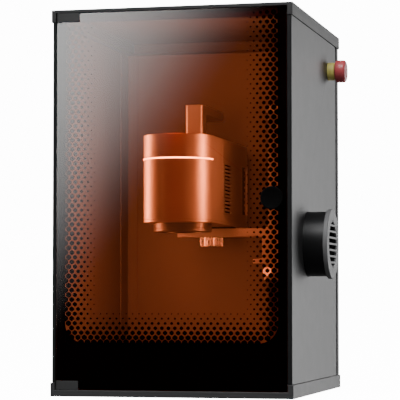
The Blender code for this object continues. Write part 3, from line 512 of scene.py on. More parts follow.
def make_panels():
    side = box_outline(0.0052, PANEL_LOW, 0.396, PANEL_HIGH)
    add("left_sheet", prism([side], "X", OVERHANG, OVERHANG + SHEET), panel_grey, "cabinet", ["left_panel"])
    holes = [circle(DUCT, DUCT_RADIUS + 0.0005, 96), circle(STOP, 0.0113, 48)]
    sheet = prism([side, *holes], "X", PANEL_OUT - SHEET, PANEL_OUT)
    add("right_sheet", sheet, panel_grey, "cabinet", ["right_panel"])
    back, front = DEPTH - OVERHANG, 0.412
    outline = [(OVERHANG, front), (OVERHANG, back), (PANEL_OUT, back), (PANEL_OUT, front)]
    outline += [(PANEL_OUT - SHEET, front), (PANEL_OUT - SHEET, back - SHEET)]
    outline += [(OVERHANG + SHEET, back - SHEET), (OVERHANG + SHEET, front)]
    slots = []
    for row in range(4):
        low = 0.028 + 0.010 * row
        slot = rounded_outline(0.130, low, 0.258, low + 0.004, 0.00195, 6)
        slots.append(prism([slot], "Y", back - 0.01, back + 0.01))
    hole = disc("Y", GROMMET, 0.0155, back - 0.01, back + 0.01, 64)
    rear = combined(prism([outline], "Z", PANEL_LOW, PANEL_HIGH), [merged(slots), hole])
    add("rear_sheet", rear, panel_grey, "cabinet", ["rear_panel"])
    places = [(x, z) for x in (0.010, WIDTH - 0.010) for z in (0.034, 0.165, 0.305, 0.445, 0.578)]
    screws = [cap_screw("Y", place, back, 1, 0.0027, 0.0016) for place in places]
    add("rear_screws", merged(screws), steel, "cabinet", bevel=0.0001, segments=1)
    groove, bore = 0.0152, 0.010
    low, high = back - SHEET - 0.0025, back + 0.0018
    profile = [
        (bore, low + 0.0008),
        (bore + 0.0008, low),
        (0.0167, low),
        (0.0175, low + 0.0008),
        (0.0175, back - SHEET - GAP),
        (groove, back - SHEET - GAP),
        (groove, back + GAP),
        (0.0175, back + GAP),
        (0.0172, high - 0.0005),
        (0.0160, high),
        (bore + 0.0008, high),
        (bore, high - 0.0008),
    ]
    bush = turned(profile, "Y", GROMMET, 72, True)
    add("cable_bush", bush, black_rubber, "cabinet", ["cable_grommet"], 0)


def mirrored(outline):
    return [(WIDTH - x, y) for x, y in reversed(outline)]


def front_post_outline(cap):
    """A folded post with a face as wide as the corner block above it, and the stop for the door."""
    skin_in = OVERHANG + SHEET + GAP
    leg = cap + 0.0002
    outline = [(OVERHANG, 0.0049)] + arc((OVERHANG + 0.0022, 0.0037), 0.0022, 180, 270, 8)
    outline += [(leg, 0.0015), (leg, 0.012), (0.016, 0.012), (0.016, 0.014), (skin_in + 0.002, 0.014)]
    return outline + [(skin_in + 0.002, 0.026), (skin_in, 0.026), (skin_in, 0.0049)]


def make_posts():
    skin_in = OVERHANG + SHEET + GAP
    inner_back = DEPTH - OVERHANG - SHEET - GAP
    rear = [(skin_in, 0.380), (skin_in + 0.002, 0.380), (skin_in + 0.002, inner_back - 0.002)]
    rear += [(REAR_FLANGE, inner_back - 0.002), (REAR_FLANGE, inner_back), (skin_in, inner_back)]
    posts = (
        ("front_left", front_post_outline(CAP_LEFT), post_black),
        ("front_right", mirrored(front_post_outline(CAP_RIGHT)), post_black),
        ("rear_left", rear, panel_grey),
        ("rear_right", mirrored(rear), panel_grey),
    )
    for name, outline, finish in posts:
        shape = prism([outline], "Z", PANEL_LOW, PANEL_HIGH)
        add(f"{name}_rail", shape, finish, "cabinet", [f"{name}_post"], 0.0003)


def make_chamber_light():
    left, right = 0.094, 0.294
    housing = [(0.040, 0.6067), (0.064, 0.6067), (0.0625, 0.6020), (0.0415, 0.6020)]
    end = [(0.0405, 0.6065), (0.0635, 0.6065), (0.060, 0.5975), (0.044, 0.5975)]
    ends = [prism([end], "X", low, low + 0.002) for low in (left, right - 0.002)]
    shell = merged([prism([housing], "X", left + 0.0021, right - 0.0021), *ends])
    add("light_housing", shell, stand_black, "cabinet", ["chamber_light"])
    lens = [(0.042, 0.6018), (0.062, 0.6018), (0.0605, 0.5995)] + arc((0.052, 0.6015), 0.0046, -30, -150, 8)
    lens += [(0.0435, 0.5995)]
    diffuser = prism([lens], "X", left + 0.0022, right - 0.0022)
    add("light_diffuser", diffuser, light_white, "cabinet", bevel=0.0002)


# Door


def door_outline(inset=0.0):
    top, bottom = LID_LIP - 0.0008 - inset, BASE_LIP + 0.0008 + inset
    beside, block_side = HINGE_RIGHT + 0.0006 + inset, HINGE_BLOCK + GAP + inset
    notch_top, notch_bottom = LID_LIP - 0.0008 - HINGE_WEB - inset, BASE_LIP + 0.0008 + HINGE_WEB + inset
    block_top = LID_LIP - 0.0012 - HINGE_TALL - inset
    block_bottom = BASE_LIP + 0.0012 + HINGE_TALL + inset
    left, right = DOOR_LEFT + inset, DOOR_RIGHT - inset
    lower = [(left, block_bottom), (block_side, block_bottom), (block_side, notch_bottom)]
    lower += [(beside, notch_bottom), (beside, bottom), (right, bottom)]
    upper = [(right, top), (beside, top), (beside, notch_top), (block_side, notch_top)]
    upper += [(block_side, block_top), (left, block_top)]
    return lower, upper


WINDOW_LEFT, WINDOW_RIGHT, WINDOW_LOW, WINDOW_CORNER = 0.0225, 0.3634, 0.0856, 0.030
DOT_PITCH, DOT_ROW = 0.01046, 0.007387
DOT_X, DOT_Z = 0.0331, 0.1231


def inside_window(x, z):
    """How far a point lies inside the clear window, which runs up to the door's top edge."""
    centre = (WINDOW_LEFT + WINDOW_RIGHT) / 2
    half = (WINDOW_RIGHT - WINDOW_LEFT) / 2
    dx = abs(x - centre) - (half - WINDOW_CORNER)
    dz = (WINDOW_LOW + WINDOW_CORNER) - z
    outside = math.hypot(max(dx, 0), max(dz, 0))
    return WINDOW_CORNER - outside - min(max(dx, dz), 0)


def dot_outline(x, z, radius):
    """A dot that grows from a circle into the six-sided cell of its staggered grid."""
    half, slant = DOT_PITCH / 2, math.hypot(DOT_PITCH / 2, DOT_ROW) / 2
    lean = math.atan2(DOT_ROW, DOT_PITCH / 2)
    walls = [(half, 0), (slant, lean), (slant, math.pi - lean), (half, math.pi)]
    walls += [(slant, math.pi + lean), (slant, -lean)]
    points = []
    for step in range(24):
        angle = math.tau * step / 24
        reach = min(d / math.cos(angle - a) for d, a in walls if math.cos(angle - a) > 0.05)
        reach = min(reach * radius / slant, radius * 1.12)
        points.append((x + reach * math.cos(angle), z + reach * math.sin(angle)))
    return points


def make_door():
    lower, upper = door_outline()
    pane = prism([lower + upper, circle(PULL, 0.0055, 32)], "Y", DOOR_FRONT, DOOR_BACK)
    add("door_pane", pane, door_acrylic, "door", ["door_panel"], 0.0003)
    lower, upper = door_outline(0.0006)
    corner_left = (WINDOW_LEFT + WINDOW_CORNER, WINDOW_LOW + WINDOW_CORNER)
    corner_right = (WINDOW_RIGHT - WINDOW_CORNER, WINDOW_LOW + WINDOW_CORNER)
    top = upper[0][1]
    notch = upper[2][1]
    inner = [(WINDOW_RIGHT, top)] + arc(corner_right, WINDOW_CORNER, 0, -90, 12)
    inner += arc(corner_left, WINDOW_CORNER, 270, 180, 12) + [(WINDOW_LEFT, notch)]
    border = lower + [upper[0]] + inner + upper[3:]
    ink_front, ink_back = DOOR_BACK + BEHIND_PANE, DOOR_BACK + BEHIND_PANE + INK
    shapes = [prism([border], "Y", ink_front, ink_back)]
    faint = 0.0006
    for row in range(-6, 66):
        for column in range(-2, 34):
            x = DOT_X + DOT_PITCH * (column + 0.5 * (row % 2))
            z = DOT_Z + DOT_ROW * row
            inside = inside_window(x, z)
            radius = 0.00445 - 0.0775 * inside
            in_notch = x < HINGE_RIGHT + 0.006 and z > notch - 0.016
            if 0 < inside and radius > faint and z < top - 0.005 and not in_notch:
                shapes.append(prism([dot_outline(x, z, radius)], "Y", ink_front, ink_back))
    add("door_print", merged(shapes), door_ink, "door", bevel=0)


def make_hinges():
    half = HINGE[1]
    outline = arc(HINGE, half, 90, 270, 24) + [(HINGE_RIGHT, 0), (HINGE_RIGHT, 2 * half)]
    low_edge, high_edge = BASE_LIP + 0.0005, LID_LIP - 0.0005
    clips = (("hinge_plate_upper", high_edge, -1), ("hinge_plate_lower", low_edge, 1))
    for name, edge, inward in clips:
        low, high = sorted((edge, edge + inward * HINGE_TALL))
        slot_low, slot_high = sorted((edge + inward * HINGE_WEB, edge + inward * 0.03))
        slot_end = (HINGE_RIGHT + 0.01, DOOR_BACK + GAP, slot_high)
        slot = block((HINGE_BLOCK, DOOR_FRONT - GAP, slot_low), slot_end)
        hole_low, hole_high = sorted((edge - inward * 0.01, edge + inward * 0.0055))
        hole = disc("Z", HINGE, 0.0023, hole_low, hole_high, 24)
        shape = combined(prism([outline], "Z", low, high), [slot, hole])
        add(f"{name}_clip", shape, hinge_black, "door", [name], 0.0004, 3)
    pins = (("hinge_pin_upper", LID_LIP - 0.0055, 0.6082), ("hinge_pin_lower", 0.0030, BASE_LIP + 0.0055))
    for name, low, high in pins:
        add(f"{name}_rod", disc("Z", HINGE, 0.002, low, high, 32), steel, "cabinet", [name], 0.0002)


def make_pull():
    back, stud = DOOR_FRONT - GAP, DOOR_BACK + 0.0025
    profile = [
        (0, -0.0030),
        (0.0120, -0.0032),
        (0.0148, -0.0040),
        (0.0170, -0.0040),
        (0.0178, -0.0032),
        (0.0178, -0.0012),
        (0.0150, -0.0004),
        (0.0150, back),
        (0.0050, back),
        (0.0050, stud),
        (0, stud),
    ]
    add("pull_disc", turned(profile, "Y", PULL, 96), pull_black, "door", ["door_pull"], 0.0002)
    behind = DOOR_BACK + GAP
    plate = [(0.0054, behind), (0.014, behind), (0.014, behind + 0.003), (0.0054, behind + 0.003)]
    add("strike_disc", turned(plate, "Y", PULL, 72, True), steel, "door", ["door_strike"], 0.0003)
    x, z = PULL
    flange_back = 0.0143
    outline = rounded_outline(x - 0.012, z - 0.0155, WIDTH - 0.0065, z + 0.0155, 0.003)
    plate = prism([outline], "Y", flange_back, flange_back + 0.002)
    add("catch_plate", plate, post_black, "cabinet", ["catch_bracket"])
    magnet = disc("Y", PULL, 0.008, 0.0095, 0.014, 64)
    add("catch_puck", magnet, chrome, "cabinet", ["catch_magnet"], 0.0005, 3)
    seal = rounded_outline(0.3732, 0.0061, 0.3786, 0.0117, 0.0015, 4)
    add("door_gasket", prism([seal], "Z", 0.026, 0.586), black_rubber, "cabinet", ["door_seal"], 0)


# Emergency stop


def make_emergency_stop():
    outer = PANEL_OUT + GAP
    end = outer + 0.0120
    collar = [
        (0.0093, outer),
        (0.0150, outer),
        (0.0150, outer + 0.0030),
        (0.0146, outer + 0.0034),
        (0.0146, outer + 0.0040),
        (0.0150, outer + 0.0044),
        (0.0150, end - 0.0012),
        (0.0138, end),
        (0.0093, end),
    ]
    add("stop_bezel", turned(collar, "X", STOP, 72, True), stop_yellow, "cabinet", ["estop_collar"], 0.0002)
    y, z = STOP
    case = prism([rounded_outline(y - 0.021, z - 0.021, y + 0.021, z + 0.021, 0.003)], "X", 0.345, 0.372)
    case = combined(case, [disc("X", STOP, 0.0108, 0.370, PANEL_OUT, 64)], "UNION")
    case = combined(case, [disc("X", STOP, 0.0085, 0.366, PANEL_OUT + 0.01, 64)])
    add("stop_contacts", case, fan_black, "cabinet", ["estop_body"], 0.0004)
    add_screws("stop_terminals", "X", corners_about(STOP, 0.012), 0.345, -1, "cabinet", 0.0024, 0.001, brass)
    nut = prism([circle(STOP, 0.0165, 6), circle(STOP, 0.0112, 64)], "X", 0.3802, 0.3842)
    add("stop_nut", nut, steel, "cabinet", ["estop_nut"], 0.0003)
    plunger = disc("X", STOP, 0.008, 0.3715, end + GAP, 64)
    add("stop_stem", plunger, stop_red, "estop_plunger", ["estop_plunger"], 0.0003)
    face = end + 2 * GAP
    recess = end + 0.0055
    mushroom = [
        (0, face),
        (0.0086, face),
        (0.0086, recess),
        (0.0157, recess),
        (0.0157, 0.3995),
        (0.0172, 0.3995),
        (STOP_RADIUS - 0.0004, 0.4006),
        (STOP_RADIUS, 0.4020),
    ]
    mushroom += arc((STOP_RADIUS - 0.005, STOP_FACE - 0.005), 0.005, 0, 90, 8)
    mushroom += [(0.0100, STOP_FACE), (0.0085, STOP_FACE - 0.0005), (0, STOP_FACE - 0.0005)]
    button = turned(mushroom, "X", STOP, 96)
    add("stop_mushroom", button, stop_red, "estop_button", ["estop_button"], 0.0002)


def steps_to_right_angle(count):
    return [math.pi / 2 * step / count for step in range(count + 1)]


# Exhaust


def make_duct():
    inside = PANEL_OUT - SHEET - GAP
    end = DUCT_REACH - 0.0033
    bore = DUCT_RADIUS - 0.003
    profile = [
        (bore, inside - 0.003),
        (0.058, inside - 0.003),
        (0.058, inside),
        (DUCT_RADIUS, inside),
        (DUCT_RADIUS, end - 0.0005),
        (DUCT_RADIUS - 0.0005, end),
        (bore, end),
    ]
    add("duct_spigot", turned(profile, "X", DUCT, 128, True), duct_black, "cabinet", ["duct_tube"], 0.0003)
    rim = 0.0555
    cap_profile = [
        (0, end + GAP),
        (DUCT_RADIUS + 0.0004, end + GAP),
        (DUCT_RADIUS + 0.0004, end - 0.004),
        (rim - 0.0012, end - 0.004),
    ]
    cap_profile += arc((rim - 0.0012, end - 0.0028), 0.0012, -90, 0, 5)
    corner = 0.0016
    cap_profile += arc((rim - corner, DUCT_REACH - corner), corner, 0, 90, 6)
    cap_profile += [(0.0395, DUCT_REACH), (0.0390, DUCT_REACH - 0.0003), (0, DUCT_REACH - 0.0003)]
    y, z = DUCT
    grille, pitch, half_slot = 0.0355, 0.0098, 0.0034
    slots = []
    for row in range(8):
        height = z + pitch * (row - 3.5)
        outline = []
        near, far = sorted((height - half_slot - z, height + half_slot - z), key=abs)
        for share in range(7):
            rise = near + (far - near) * share / 6
            outline.append((max(math.sqrt(max(grille**2 - rise**2, 0)), 0.004), z + rise))
        loop = [(y + reach, level) for reach, level in outline]
        loop += [(y - reach, level) for reach, level in reversed(outline)]
        slots.append(prism([loop], "X", DUCT_REACH - 0.01, DUCT_REACH + 0.01))
    cap = combined(turned(cap_profile, "X", DUCT, 128), [merged(slots)])
    add("duct_grille", cap, duct_grey, "cabinet", ["duct_cap"], 0.0002)


def blade(axis, centre, middle, root, tip, chord, pitch_root, pitch_tip, thick, turn):
    """A twisted fan blade from hub to tip, thin and slightly arched."""
    rings = []
    spans, steps = 7, 6
    for span in range(spans + 1):
        share = span / spans
        radius = root + (tip - root) * share
        pitch = math.radians(pitch_root + (pitch_tip - pitch_root) * share)
        width = chord * (0.75 + 0.35 * share)
        upper, lower = [], []
        for step in range(steps + 1):
            t = step / steps - 0.5
            arch = (0.25 - t * t) * width * 0.35
            body = thick * (1 - (2 * t) ** 2) ** 0.5 / 2 + thick * 0.12
            for side, row in ((1, upper), (-1, lower)):
                along, across = t * width, arch + side * body
                around = along * math.cos(pitch) - across * math.sin(pitch)
                row.append((around, along * math.sin(pitch) + across * math.cos(pitch)))
        ring = []
        for around, rise in upper + lower[::-1]:
            angle = turn + around / radius
            pair = (centre[0] + radius * math.cos(angle), centre[1] + radius * math.sin(angle))
            ring.append(spatial(pair, middle + rise, axis))
        rings.append(ring)
    return skin(rings)


def rotor(axis, centre, low, high, hub, tip, count, chord, thick):
    middle = (low + high) / 2
    outer = [(0, low), (hub - 0.001, low), (hub, low + 0.001)]
    outer += [(hub, high - 0.002), (hub - 0.002, high), (0, high)]
    shapes = [turned(outer, axis, centre, 64)]
    for number in range(count):
        turn = math.tau * number / count
        shapes.append(blade(axis, centre, middle, hub - 0.001, tip, chord, 48, 30, thick, turn))
    return merged(shapes)


def spider(axis, centre, hub, reach, low, high, width):
    """A fan motor's mount: a disc held by four bars."""
    shapes = [disc(axis, centre, hub, low, high, 64)]
    for number in range(4):
        angle = math.tau * (number + 0.5) / 4
        start, end = hub - 0.002, reach
        along, side = (math.cos(angle), math.sin(angle)), (-math.sin(angle), math.cos(angle))
        corners = []
        for distance, offset in ((start, -1), (end, -1), (end, 1), (start, 1)):
            u = centre[0] + along[0] * distance + side[0] * offset * width / 2
            v = centre[1] + along[1] * distance + side[1] * offset * width / 2
            corners.append((u, v))
        shapes.append(prism([corners], axis, low + 0.0002, high - 0.0002))
    return shapes


def make_exhaust_fan():
    y, z = DUCT
    back = PANEL_OUT - SHEET - GAP - 0.003 - GAP
    front = back - 0.0254
    square = rounded_outline(y - 0.060, z - 0.060, y + 0.060, z + 0.060, 0.006)
    spots = corners_about(DUCT, 0.0525)
    holes = [circle(spot, 0.0022, 24) for spot in spots]
    body = prism([square, circle(DUCT, 0.0575, 96), *holes], "X", front, back)
    body = combined(body, spider("X", DUCT, 0.020, 0.0585, back - 0.003, back, 0.005), "UNION")
    add("exhaust_frame", body, fan_black, "cabinet", ["exhaust_fan_frame"], 0.0004)
    shape = rotor("X", DUCT, front + 0.002, back - 0.0036, 0.0195, 0.0555, 7, 0.026, 0.0016)
    add("exhaust_rotor", shape, fan_black, "exhaust_fan", ["exhaust_fan_rotor"], 0.0003)
    add_screws("exhaust_screws", "X", spots, front, -1, "cabinet")


# Stand


def column_outline(half, groove, lip=0.0):
    """The column's square section with a T-shaped slot along each face."""
    outline = []
    sides = (((-1, -1), (1, 0)), ((1, -1), (0, 1)), ((1, 1), (-1, 0)), ((-1, 1), (0, -1)))
    for (cx, cy), (dx, dy) in sides:
        start = Vector((COLUMN_X + cx * half, COLUMN_Y + cy * half))
        run, inward = Vector((dx, dy)), Vector((-dy, dx))
        outline.append(tuple(start))
        if groove:
            narrow, wide, floor = 0.003, 0.0065, lip + groove
            steps = [(-narrow, 0), (-narrow, lip), (-wide, lip), (-wide, floor)]
            steps += [(wide, floor), (wide, lip), (narrow, lip), (narrow, 0)]
            outline += [tuple(start + run * (half + along) + inward * deep) for along, deep in steps]
    return outline


def make_stand():
    plate = prism([rounded_outline(0.060, 0.046, 0.352, 0.384, 0.012)], "Z", 0.0058, 0.016)
    boss = prism([rounded_outline(0.274, 0.290, 0.338, 0.3725, 0.006)], "Z", 0.012, 0.046)
    base = combined(plate, [boss], "UNION")
    socket = prism([column_outline(COLUMN_HALF + GAP, 0)], "Z", 0.016, 0.060)
    base = combined(base, [socket, disc("Z", SCREW, 0.0043, 0.020, 0.060, 48)])
    add("stand_plate", base, stand_black, "cabinet", ["stand_base"], 0.0010, 3)
    spots = [(x, y) for x in (0.074, 0.255, 0.338) for y in (0.060, 0.370) if (x, y) != (0.338, 0.370)]
    add_screws("stand_screws", "Z", spots, 0.016, 1, "cabinet", 0.004, 0.0025)
    make_bed()
    column = prism([column_outline(COLUMN_HALF, 0.003, 0.0018)], "Z", 0.0163, COLUMN_TOP)
    add("column_profile", column, bed_aluminium, "cabinet", ["column"], 0.0003)
    top = rounded_outline(COLUMN_X - 0.0235, COLUMN_Y - 0.0235, COLUMN_X + 0.0235, 0.372, 0.004)
    cap = prism([top, circle(SCREW, 0.0043, 48)], "Z", COLUMN_TOP + GAP, COLUMN_TOP + 0.010)
    add("column_lid", cap, arm_silver, "cabinet", ["column_cap"], 0.0008, 3)
    spots = corners_about((COLUMN_X, COLUMN_Y), 0.013)
    add_screws("column_screws", "Z", spots, COLUMN_TOP + 0.010, 1, "cabinet")


def make_bed():
    """The slotted plate that the work lies on, with four rows of holes and a groove between rows."""
    half, pitch = 0.095, 0.050
    left, front = HEAD_X - half, LENS_Y - half + 0.010
    outline = rounded_outline(left, front, left + 2 * half, front + 2 * half - 0.010, 0.006)
    holes, grooves = [], []
    for row in range(4):
        for column in range(4):
            centre = (left + 0.020 + pitch * column, front + 0.015 + pitch * row)
            holes.append(circle(centre, 0.003, 32))
    for row in range(3):
        near = front + 0.0395 + pitch * row
        grooves.append(block((left - 0.01, near, 0.0258), (left + 0.20, near + 0.001, 0.03)))
    bed = combined(prism([outline, *holes], "Z", 0.0163, 0.0262), [merged(grooves)])
    add("bed_plate", bed, bed_aluminium, "cabinet", ["work_bed"], 0.0004)


def make_lead_screw():
    """A rod with a steep four-start thread, and its fluted knob."""
    low, high, lead, starts, around = 0.0205, 0.4820, 0.008, 4, 24
    rings = []
    count = int((high - low) / 0.0005)
    for level in range(count + 1):
        z = low + (high - low) * level / count
        ring = []
        for step in range(around):
            angle = math.tau * step / around
            phase = (starts * (z / lead - angle / math.tau)) % 1.0
            depth = min(1.0, max(0.0, 2.5 * abs(phase - 0.5) - 0.25))
            radius = 0.0040 - 0.0007 * depth
            x, y = SCREW[0] + radius * math.cos(angle), SCREW[1] + radius * math.sin(angle)
            ring.append(Vector((x, y, z)))
        rings.append(ring)
    add("screw_rod", skin(rings), steel, "lead_screw", ["lead_screw"], 0)
    add("screw_end", disc("Z", SCREW, 0.0039, high - 0.001, 0.4895, 32), steel, "lead_screw", bevel=0.0003)
    grip = prism([fluted_outline(SCREW, 0.0190, 0.0172, 12)], "Z", 0.482, 0.500)
    grip = combined(grip, [disc("Z", SCREW, 0.0043, 0.470, 0.490, 48)])
    add("height_grip", grip, fan_black, "lead_screw", ["height_knob"], 0.0008, 3)
    insert = disc("Z", SCREW, 0.0085, 0.4996, 0.5006, 48)
    add("height_insert", insert, chrome, "lead_screw", bevel=0.0003)


def make_carriage():
    low, high = 0.186, 0.275
    outline = rounded_outline(0.281, ARM_FRONT + 0.0063, 0.331, 0.3725, 0.003)
    slide = column_outline(COLUMN_HALF + 0.0004, 0)
    shape = prism([outline, slide, circle(SCREW, 0.0073, 64)], "Z", low, high)
    shape = combined(shape, [disc("Y", LOCK, 0.0035, 0.280, COLUMN_Y - 0.015, 32)])
    add("carriage_block", shape, arm_silver, "lift", ["carriage"], 0.0008, 3)
    nut = [(0.0043, low), (0.007, low), (0.007, low + 0.025), (0.0043, low + 0.025)]
    add("nut_bush", turned(nut, "Z", SCREW, 64, True), brass, "lift", ["lead_nut"], 0.0003)
    left, shelf_right, right = 0.1328, 0.2792, 0.3310
    back, shelf_back = ARM_FRONT + 0.006, 0.325
    outline = [(left, ARM_FRONT), (right, ARM_FRONT), (right, back), (shelf_right, back)]
    outline += [(shelf_right, shelf_back), (left, shelf_back)]
    arm = prism([outline, circle(CLAMP, 0.0055, 48)], "Z", ARM_LOW, ARM_HIGH)
    strip_left, strip_right, strip_low, tab_end = 0.2796, 0.2925, 0.2137, 0.2640
    strip = [(tab_end, strip_low), (strip_right, strip_low), (strip_right, ARM_LOW + 0.006)]
    strip += [(strip_left, ARM_LOW + 0.006), (strip_left, strip_low + 0.0085), (tab_end, strip_low + 0.0070)]
    arm = combined(arm, [prism([strip], "Y", ARM_FRONT, back - 0.001)], "UNION")
    add("arm_plate", arm, arm_silver, "lift", ["arm_bracket"], 0.0006, 3)
    spots = [(x, 0.2650) for x in (0.300, 0.322)]
    add_screws("arm_screws", "Y", spots, ARM_FRONT, -1, "lift")
    pad = rounded_outline(0.150, 0.289, 0.227, 0.321, 0.004)
    pad_shape = prism([pad, circle(CLAMP, 0.0055, 48)], "Z", ARM_HIGH + GAP, HEAD_BOTTOM - GAP)
    add("mount_pad", pad_shape, black_rubber, "lift", ["mount_plate"], 0.0003)


def make_knobs():
    grip = prism([fluted_outline(CLAMP, 0.0215, 0.0197, 22)], "Z", 0.2425, ARM_LOW - GAP)
    stem = disc("Z", CLAMP, 0.005, 0.250, HEAD_BOTTOM + 0.0035, 48)
    add("clamp_grip", combined(grip, [stem], "UNION"), chrome, "clamp_knob", ["clamp_knob"], 0.0006, 3)
    face = ARM_FRONT - 0.010
    stop = COLUMN_Y - COLUMN_HALF - 0.0012
    grip = prism([fluted_outline(LOCK, 0.0073, 0.0068, 24)], "Y", face, ARM_FRONT + 0.0045)
    stem = disc("Y", LOCK, 0.003, ARM_FRONT, stop, 32)
    # The lock knob's face takes the brightened chrome, a painted highlight.
    add("lock_grip", combined(grip, [stem], "UNION"), chrome_painted_highlight, "lock_knob", ["lock_knob"], 0.0005, 3)


# Laser head


def head_outline(radius, back, steps=72):
    outline = arc((HEAD_X, HEAD_Y), radius, 180, 360, steps)
    return outline + [(HEAD_X + radius, back), (HEAD_X - radius, back)]


def make_head():
    lens_hole, clamp_hole = circle((HEAD_X, LENS_Y), 0.0410, 96), circle(CLAMP, 0.0053, 48)
    loops = [head_outline(HEAD_RADIUS, HEAD_BACK), lens_hole, clamp_hole]
    plate = prism(loops, "Z", HEAD_BOTTOM, HEAD_BOTTOM + 0.004)
    add("head_base", plate, head_silver, "lift", ["head_base_plate"], 0.0004, 3)
    edge = 0.0012
    levels = [
        (HEAD_RADIUS - HEAD_WALL, HEAD_SPLIT - HEAD_WALL, HEAD_TOP - HEAD_WALL),
        (HEAD_RADIUS - HEAD_WALL, HEAD_SPLIT - HEAD_WALL, HEAD_LOW),
        (HEAD_RADIUS, HEAD_SPLIT, HEAD_LOW),
    ]
    for angle in steps_to_right_angle(5):
        rise = edge * math.sin(angle)
        inward = edge * (1 - math.cos(angle))
        levels.append((HEAD_RADIUS - inward, HEAD_SPLIT, HEAD_TOP - edge + rise))
    rings = [[Vector((x, y, z)) for x, y in head_outline(radius, back)] for radius, back, z in levels]
    band = arc((HEAD_X, HEAD_Y), HEAD_RADIUS - 0.0015, 360, 180, 72)
    band += arc((HEAD_X, HEAD_Y), HEAD_RADIUS + 0.006, 180, 360, 72)
    groove = prism([band], "Z", RING_HEIGHT - 0.0012, RING_HEIGHT + 0.0012)
    beam = disc("Y", (BEAM_X, BEAM_Z), 0.006, HEAD_SPLIT - 0.01, HEAD_SPLIT + 0.01, 48)
    front = combined(skin(rings), [groove, beam])
    add("head_front", front, head_silver, "lift", ["head_front_shell"], 0.0002)
    outline = arc((HEAD_X, HEAD_Y), HEAD_RADIUS - 0.0012, 359.5, 180.5, 72)
    outline += arc((HEAD_X, HEAD_Y), HEAD_RADIUS + 0.0006, 180.5, 359.5, 72)
    ring = prism([outline], "Z", RING_HEIGHT - 0.0009, RING_HEIGHT + 0.0009)
    add("head_ring", ring, ring_white, "lift", ["light_ring"], 0.0003)
    make_rear_housing(edge)
    make_rear_cover(edge)
    make_cooling_fan()


def rounded_arch(edge):
    """The head's outer section behind the round front, with its upper edges rounded."""
    reach, level = HEAD_RADIUS - edge, HEAD_TOP - edge
    arch = arc((HEAD_X + reach, level), edge, 0, 90, 5)
    return arch + arc((HEAD_X - reach, level), edge, 90, 180, 5)


def make_rear_housing(edge):
    left, right = HEAD_X - HEAD_RADIUS, HEAD_X + HEAD_RADIUS
    section = [(right, HEAD_LOW)] + rounded_arch(edge) + [(left, HEAD_LOW), (left + HEAD_WALL, HEAD_LOW)]
    section += [(left + HEAD_WALL, HEAD_TOP - HEAD_WALL), (right - HEAD_WALL, HEAD_TOP - HEAD_WALL)]
    section += [(right - HEAD_WALL, HEAD_LOW)]
    slots = []
    for row in range(14):
        low = 0.2960 + 0.0059 * row
        outline = rounded_outline(0.192, low, 0.244, low + 0.0027, 0.0013, 4)
        slots.append(prism([outline], "X", left - 0.01, right + 0.01))
    shape = combined(prism([section], "Y", HEAD_SPLIT + GAP, HEAD_BACK), [merged(slots)])
    add("head_body", shape, head_silver, "lift", ["head_rear_housing"], 0.0003)


def make_rear_cover(edge):
    left, right = HEAD_X - HEAD_RADIUS, HEAD_X + HEAD_RADIUS
    front, wall = HEAD_BACK + GAP, HEAD_WALL
    section = [(right, HEAD_BOTTOM)] + rounded_arch(edge) + [(left, HEAD_BOTTOM)]
    outer = prism([section], "Y", front, HEAD_END)
    hollow_low = (left + wall, front - 0.01, HEAD_BOTTOM + wall)
    hollow = block(hollow_low, (right - wall, HEAD_END - wall, HEAD_TOP - wall))
    window = rounded_outline(front + 0.006, 0.298, HEAD_END - wall - 0.001, 0.380, 0.002, 4)
    windows = prism([window], "X", left - 0.01, right + 0.01)
    slots = []
    for row in range(7):
        low = 0.3125 + 0.009 * row
        outline = rounded_outline(HEAD_X - 0.030, low, HEAD_X + 0.030, low + 0.0045, 0.0022, 6)
        slots.append(prism([outline], "Y", HEAD_END - 0.01, HEAD_END + 0.01))
    cover = combined(outer, [hollow, windows, merged(slots)])
    add("head_tail", cover, head_silver, "lift", ["head_rear_cover"], 0.0004)
    levels = (HEAD_BOTTOM + 0.008, HEAD_TOP - 0.008)
    spots = [(x, z) for x in (left + 0.008, right - 0.008) for z in levels]
    add_screws("head_screws", "Y", spots, HEAD_END, 1, "lift", 0.0022, 0.001)


def make_cooling_fan():
    left, right = HEAD_X - HEAD_RADIUS + HEAD_WALL, HEAD_X + HEAD_RADIUS - HEAD_WALL
    near, far = HEAD_BACK + 0.004, HEAD_END - 0.0060
    centre = (HEAD_X, 0.339)
    section = box_outline(left + GAP, HEAD_BOTTOM + HEAD_WALL + GAP, right - GAP, 0.386)
    shroud = prism([section, circle(centre, 0.0385, 72)], "Y", near, far)
    notches = []
    for side in (left - 0.002, right - 0.002):
        for step in range(8):
            z = 0.304 + 0.010 * step
            notches.append(block((side, near - 0.01, z), (side + 0.004, far + 0.01, z + 0.004)))
    shroud = combined(shroud, [merged(notches)])
    shroud = combined(shroud, spider("Y", centre, 0.014, 0.0395, near, near + 0.003, 0.004), "UNION")
    add("fan_case", shroud, fan_grey, "lift", ["fan_shroud"], 0.0003)
    shape = rotor("Y", centre, near + 0.0036, near + 0.018, 0.0135, 0.0365, 7, 0.017, 0.0012)
    add("fan_wheel", shape, fan_black, "cooling_fan", ["cooling_fan_rotor"], 0.0002)


def make_handle():
    half = 0.01545
    front, post_back, end = 0.213, 0.238, 0.371
    bar_low, top = 0.4623, 0.477
    side = [(front, HEAD_TOP + GAP), (post_back, HEAD_TOP + GAP), (post_back, bar_low - 0.004)]
    side += arc((post_back + 0.004, bar_low - 0.004), 0.004, 180, 90, 6)[1:]
    side += [(end, bar_low), (end, top), (front, top)]
    shape = prism([side], "X", HEAD_X - half, HEAD_X + half)
    plan = rounded_outline(HEAD_X - half, front, HEAD_X + half, end, 0.006, 10)
    shape = combined(shape, [prism([plan], "Z", HEAD_TOP - 0.01, top + 0.01)], "INTERSECT")
    add("handle_bar", shape, handle_silver, "lift", ["handle"], 0.0012, 4)


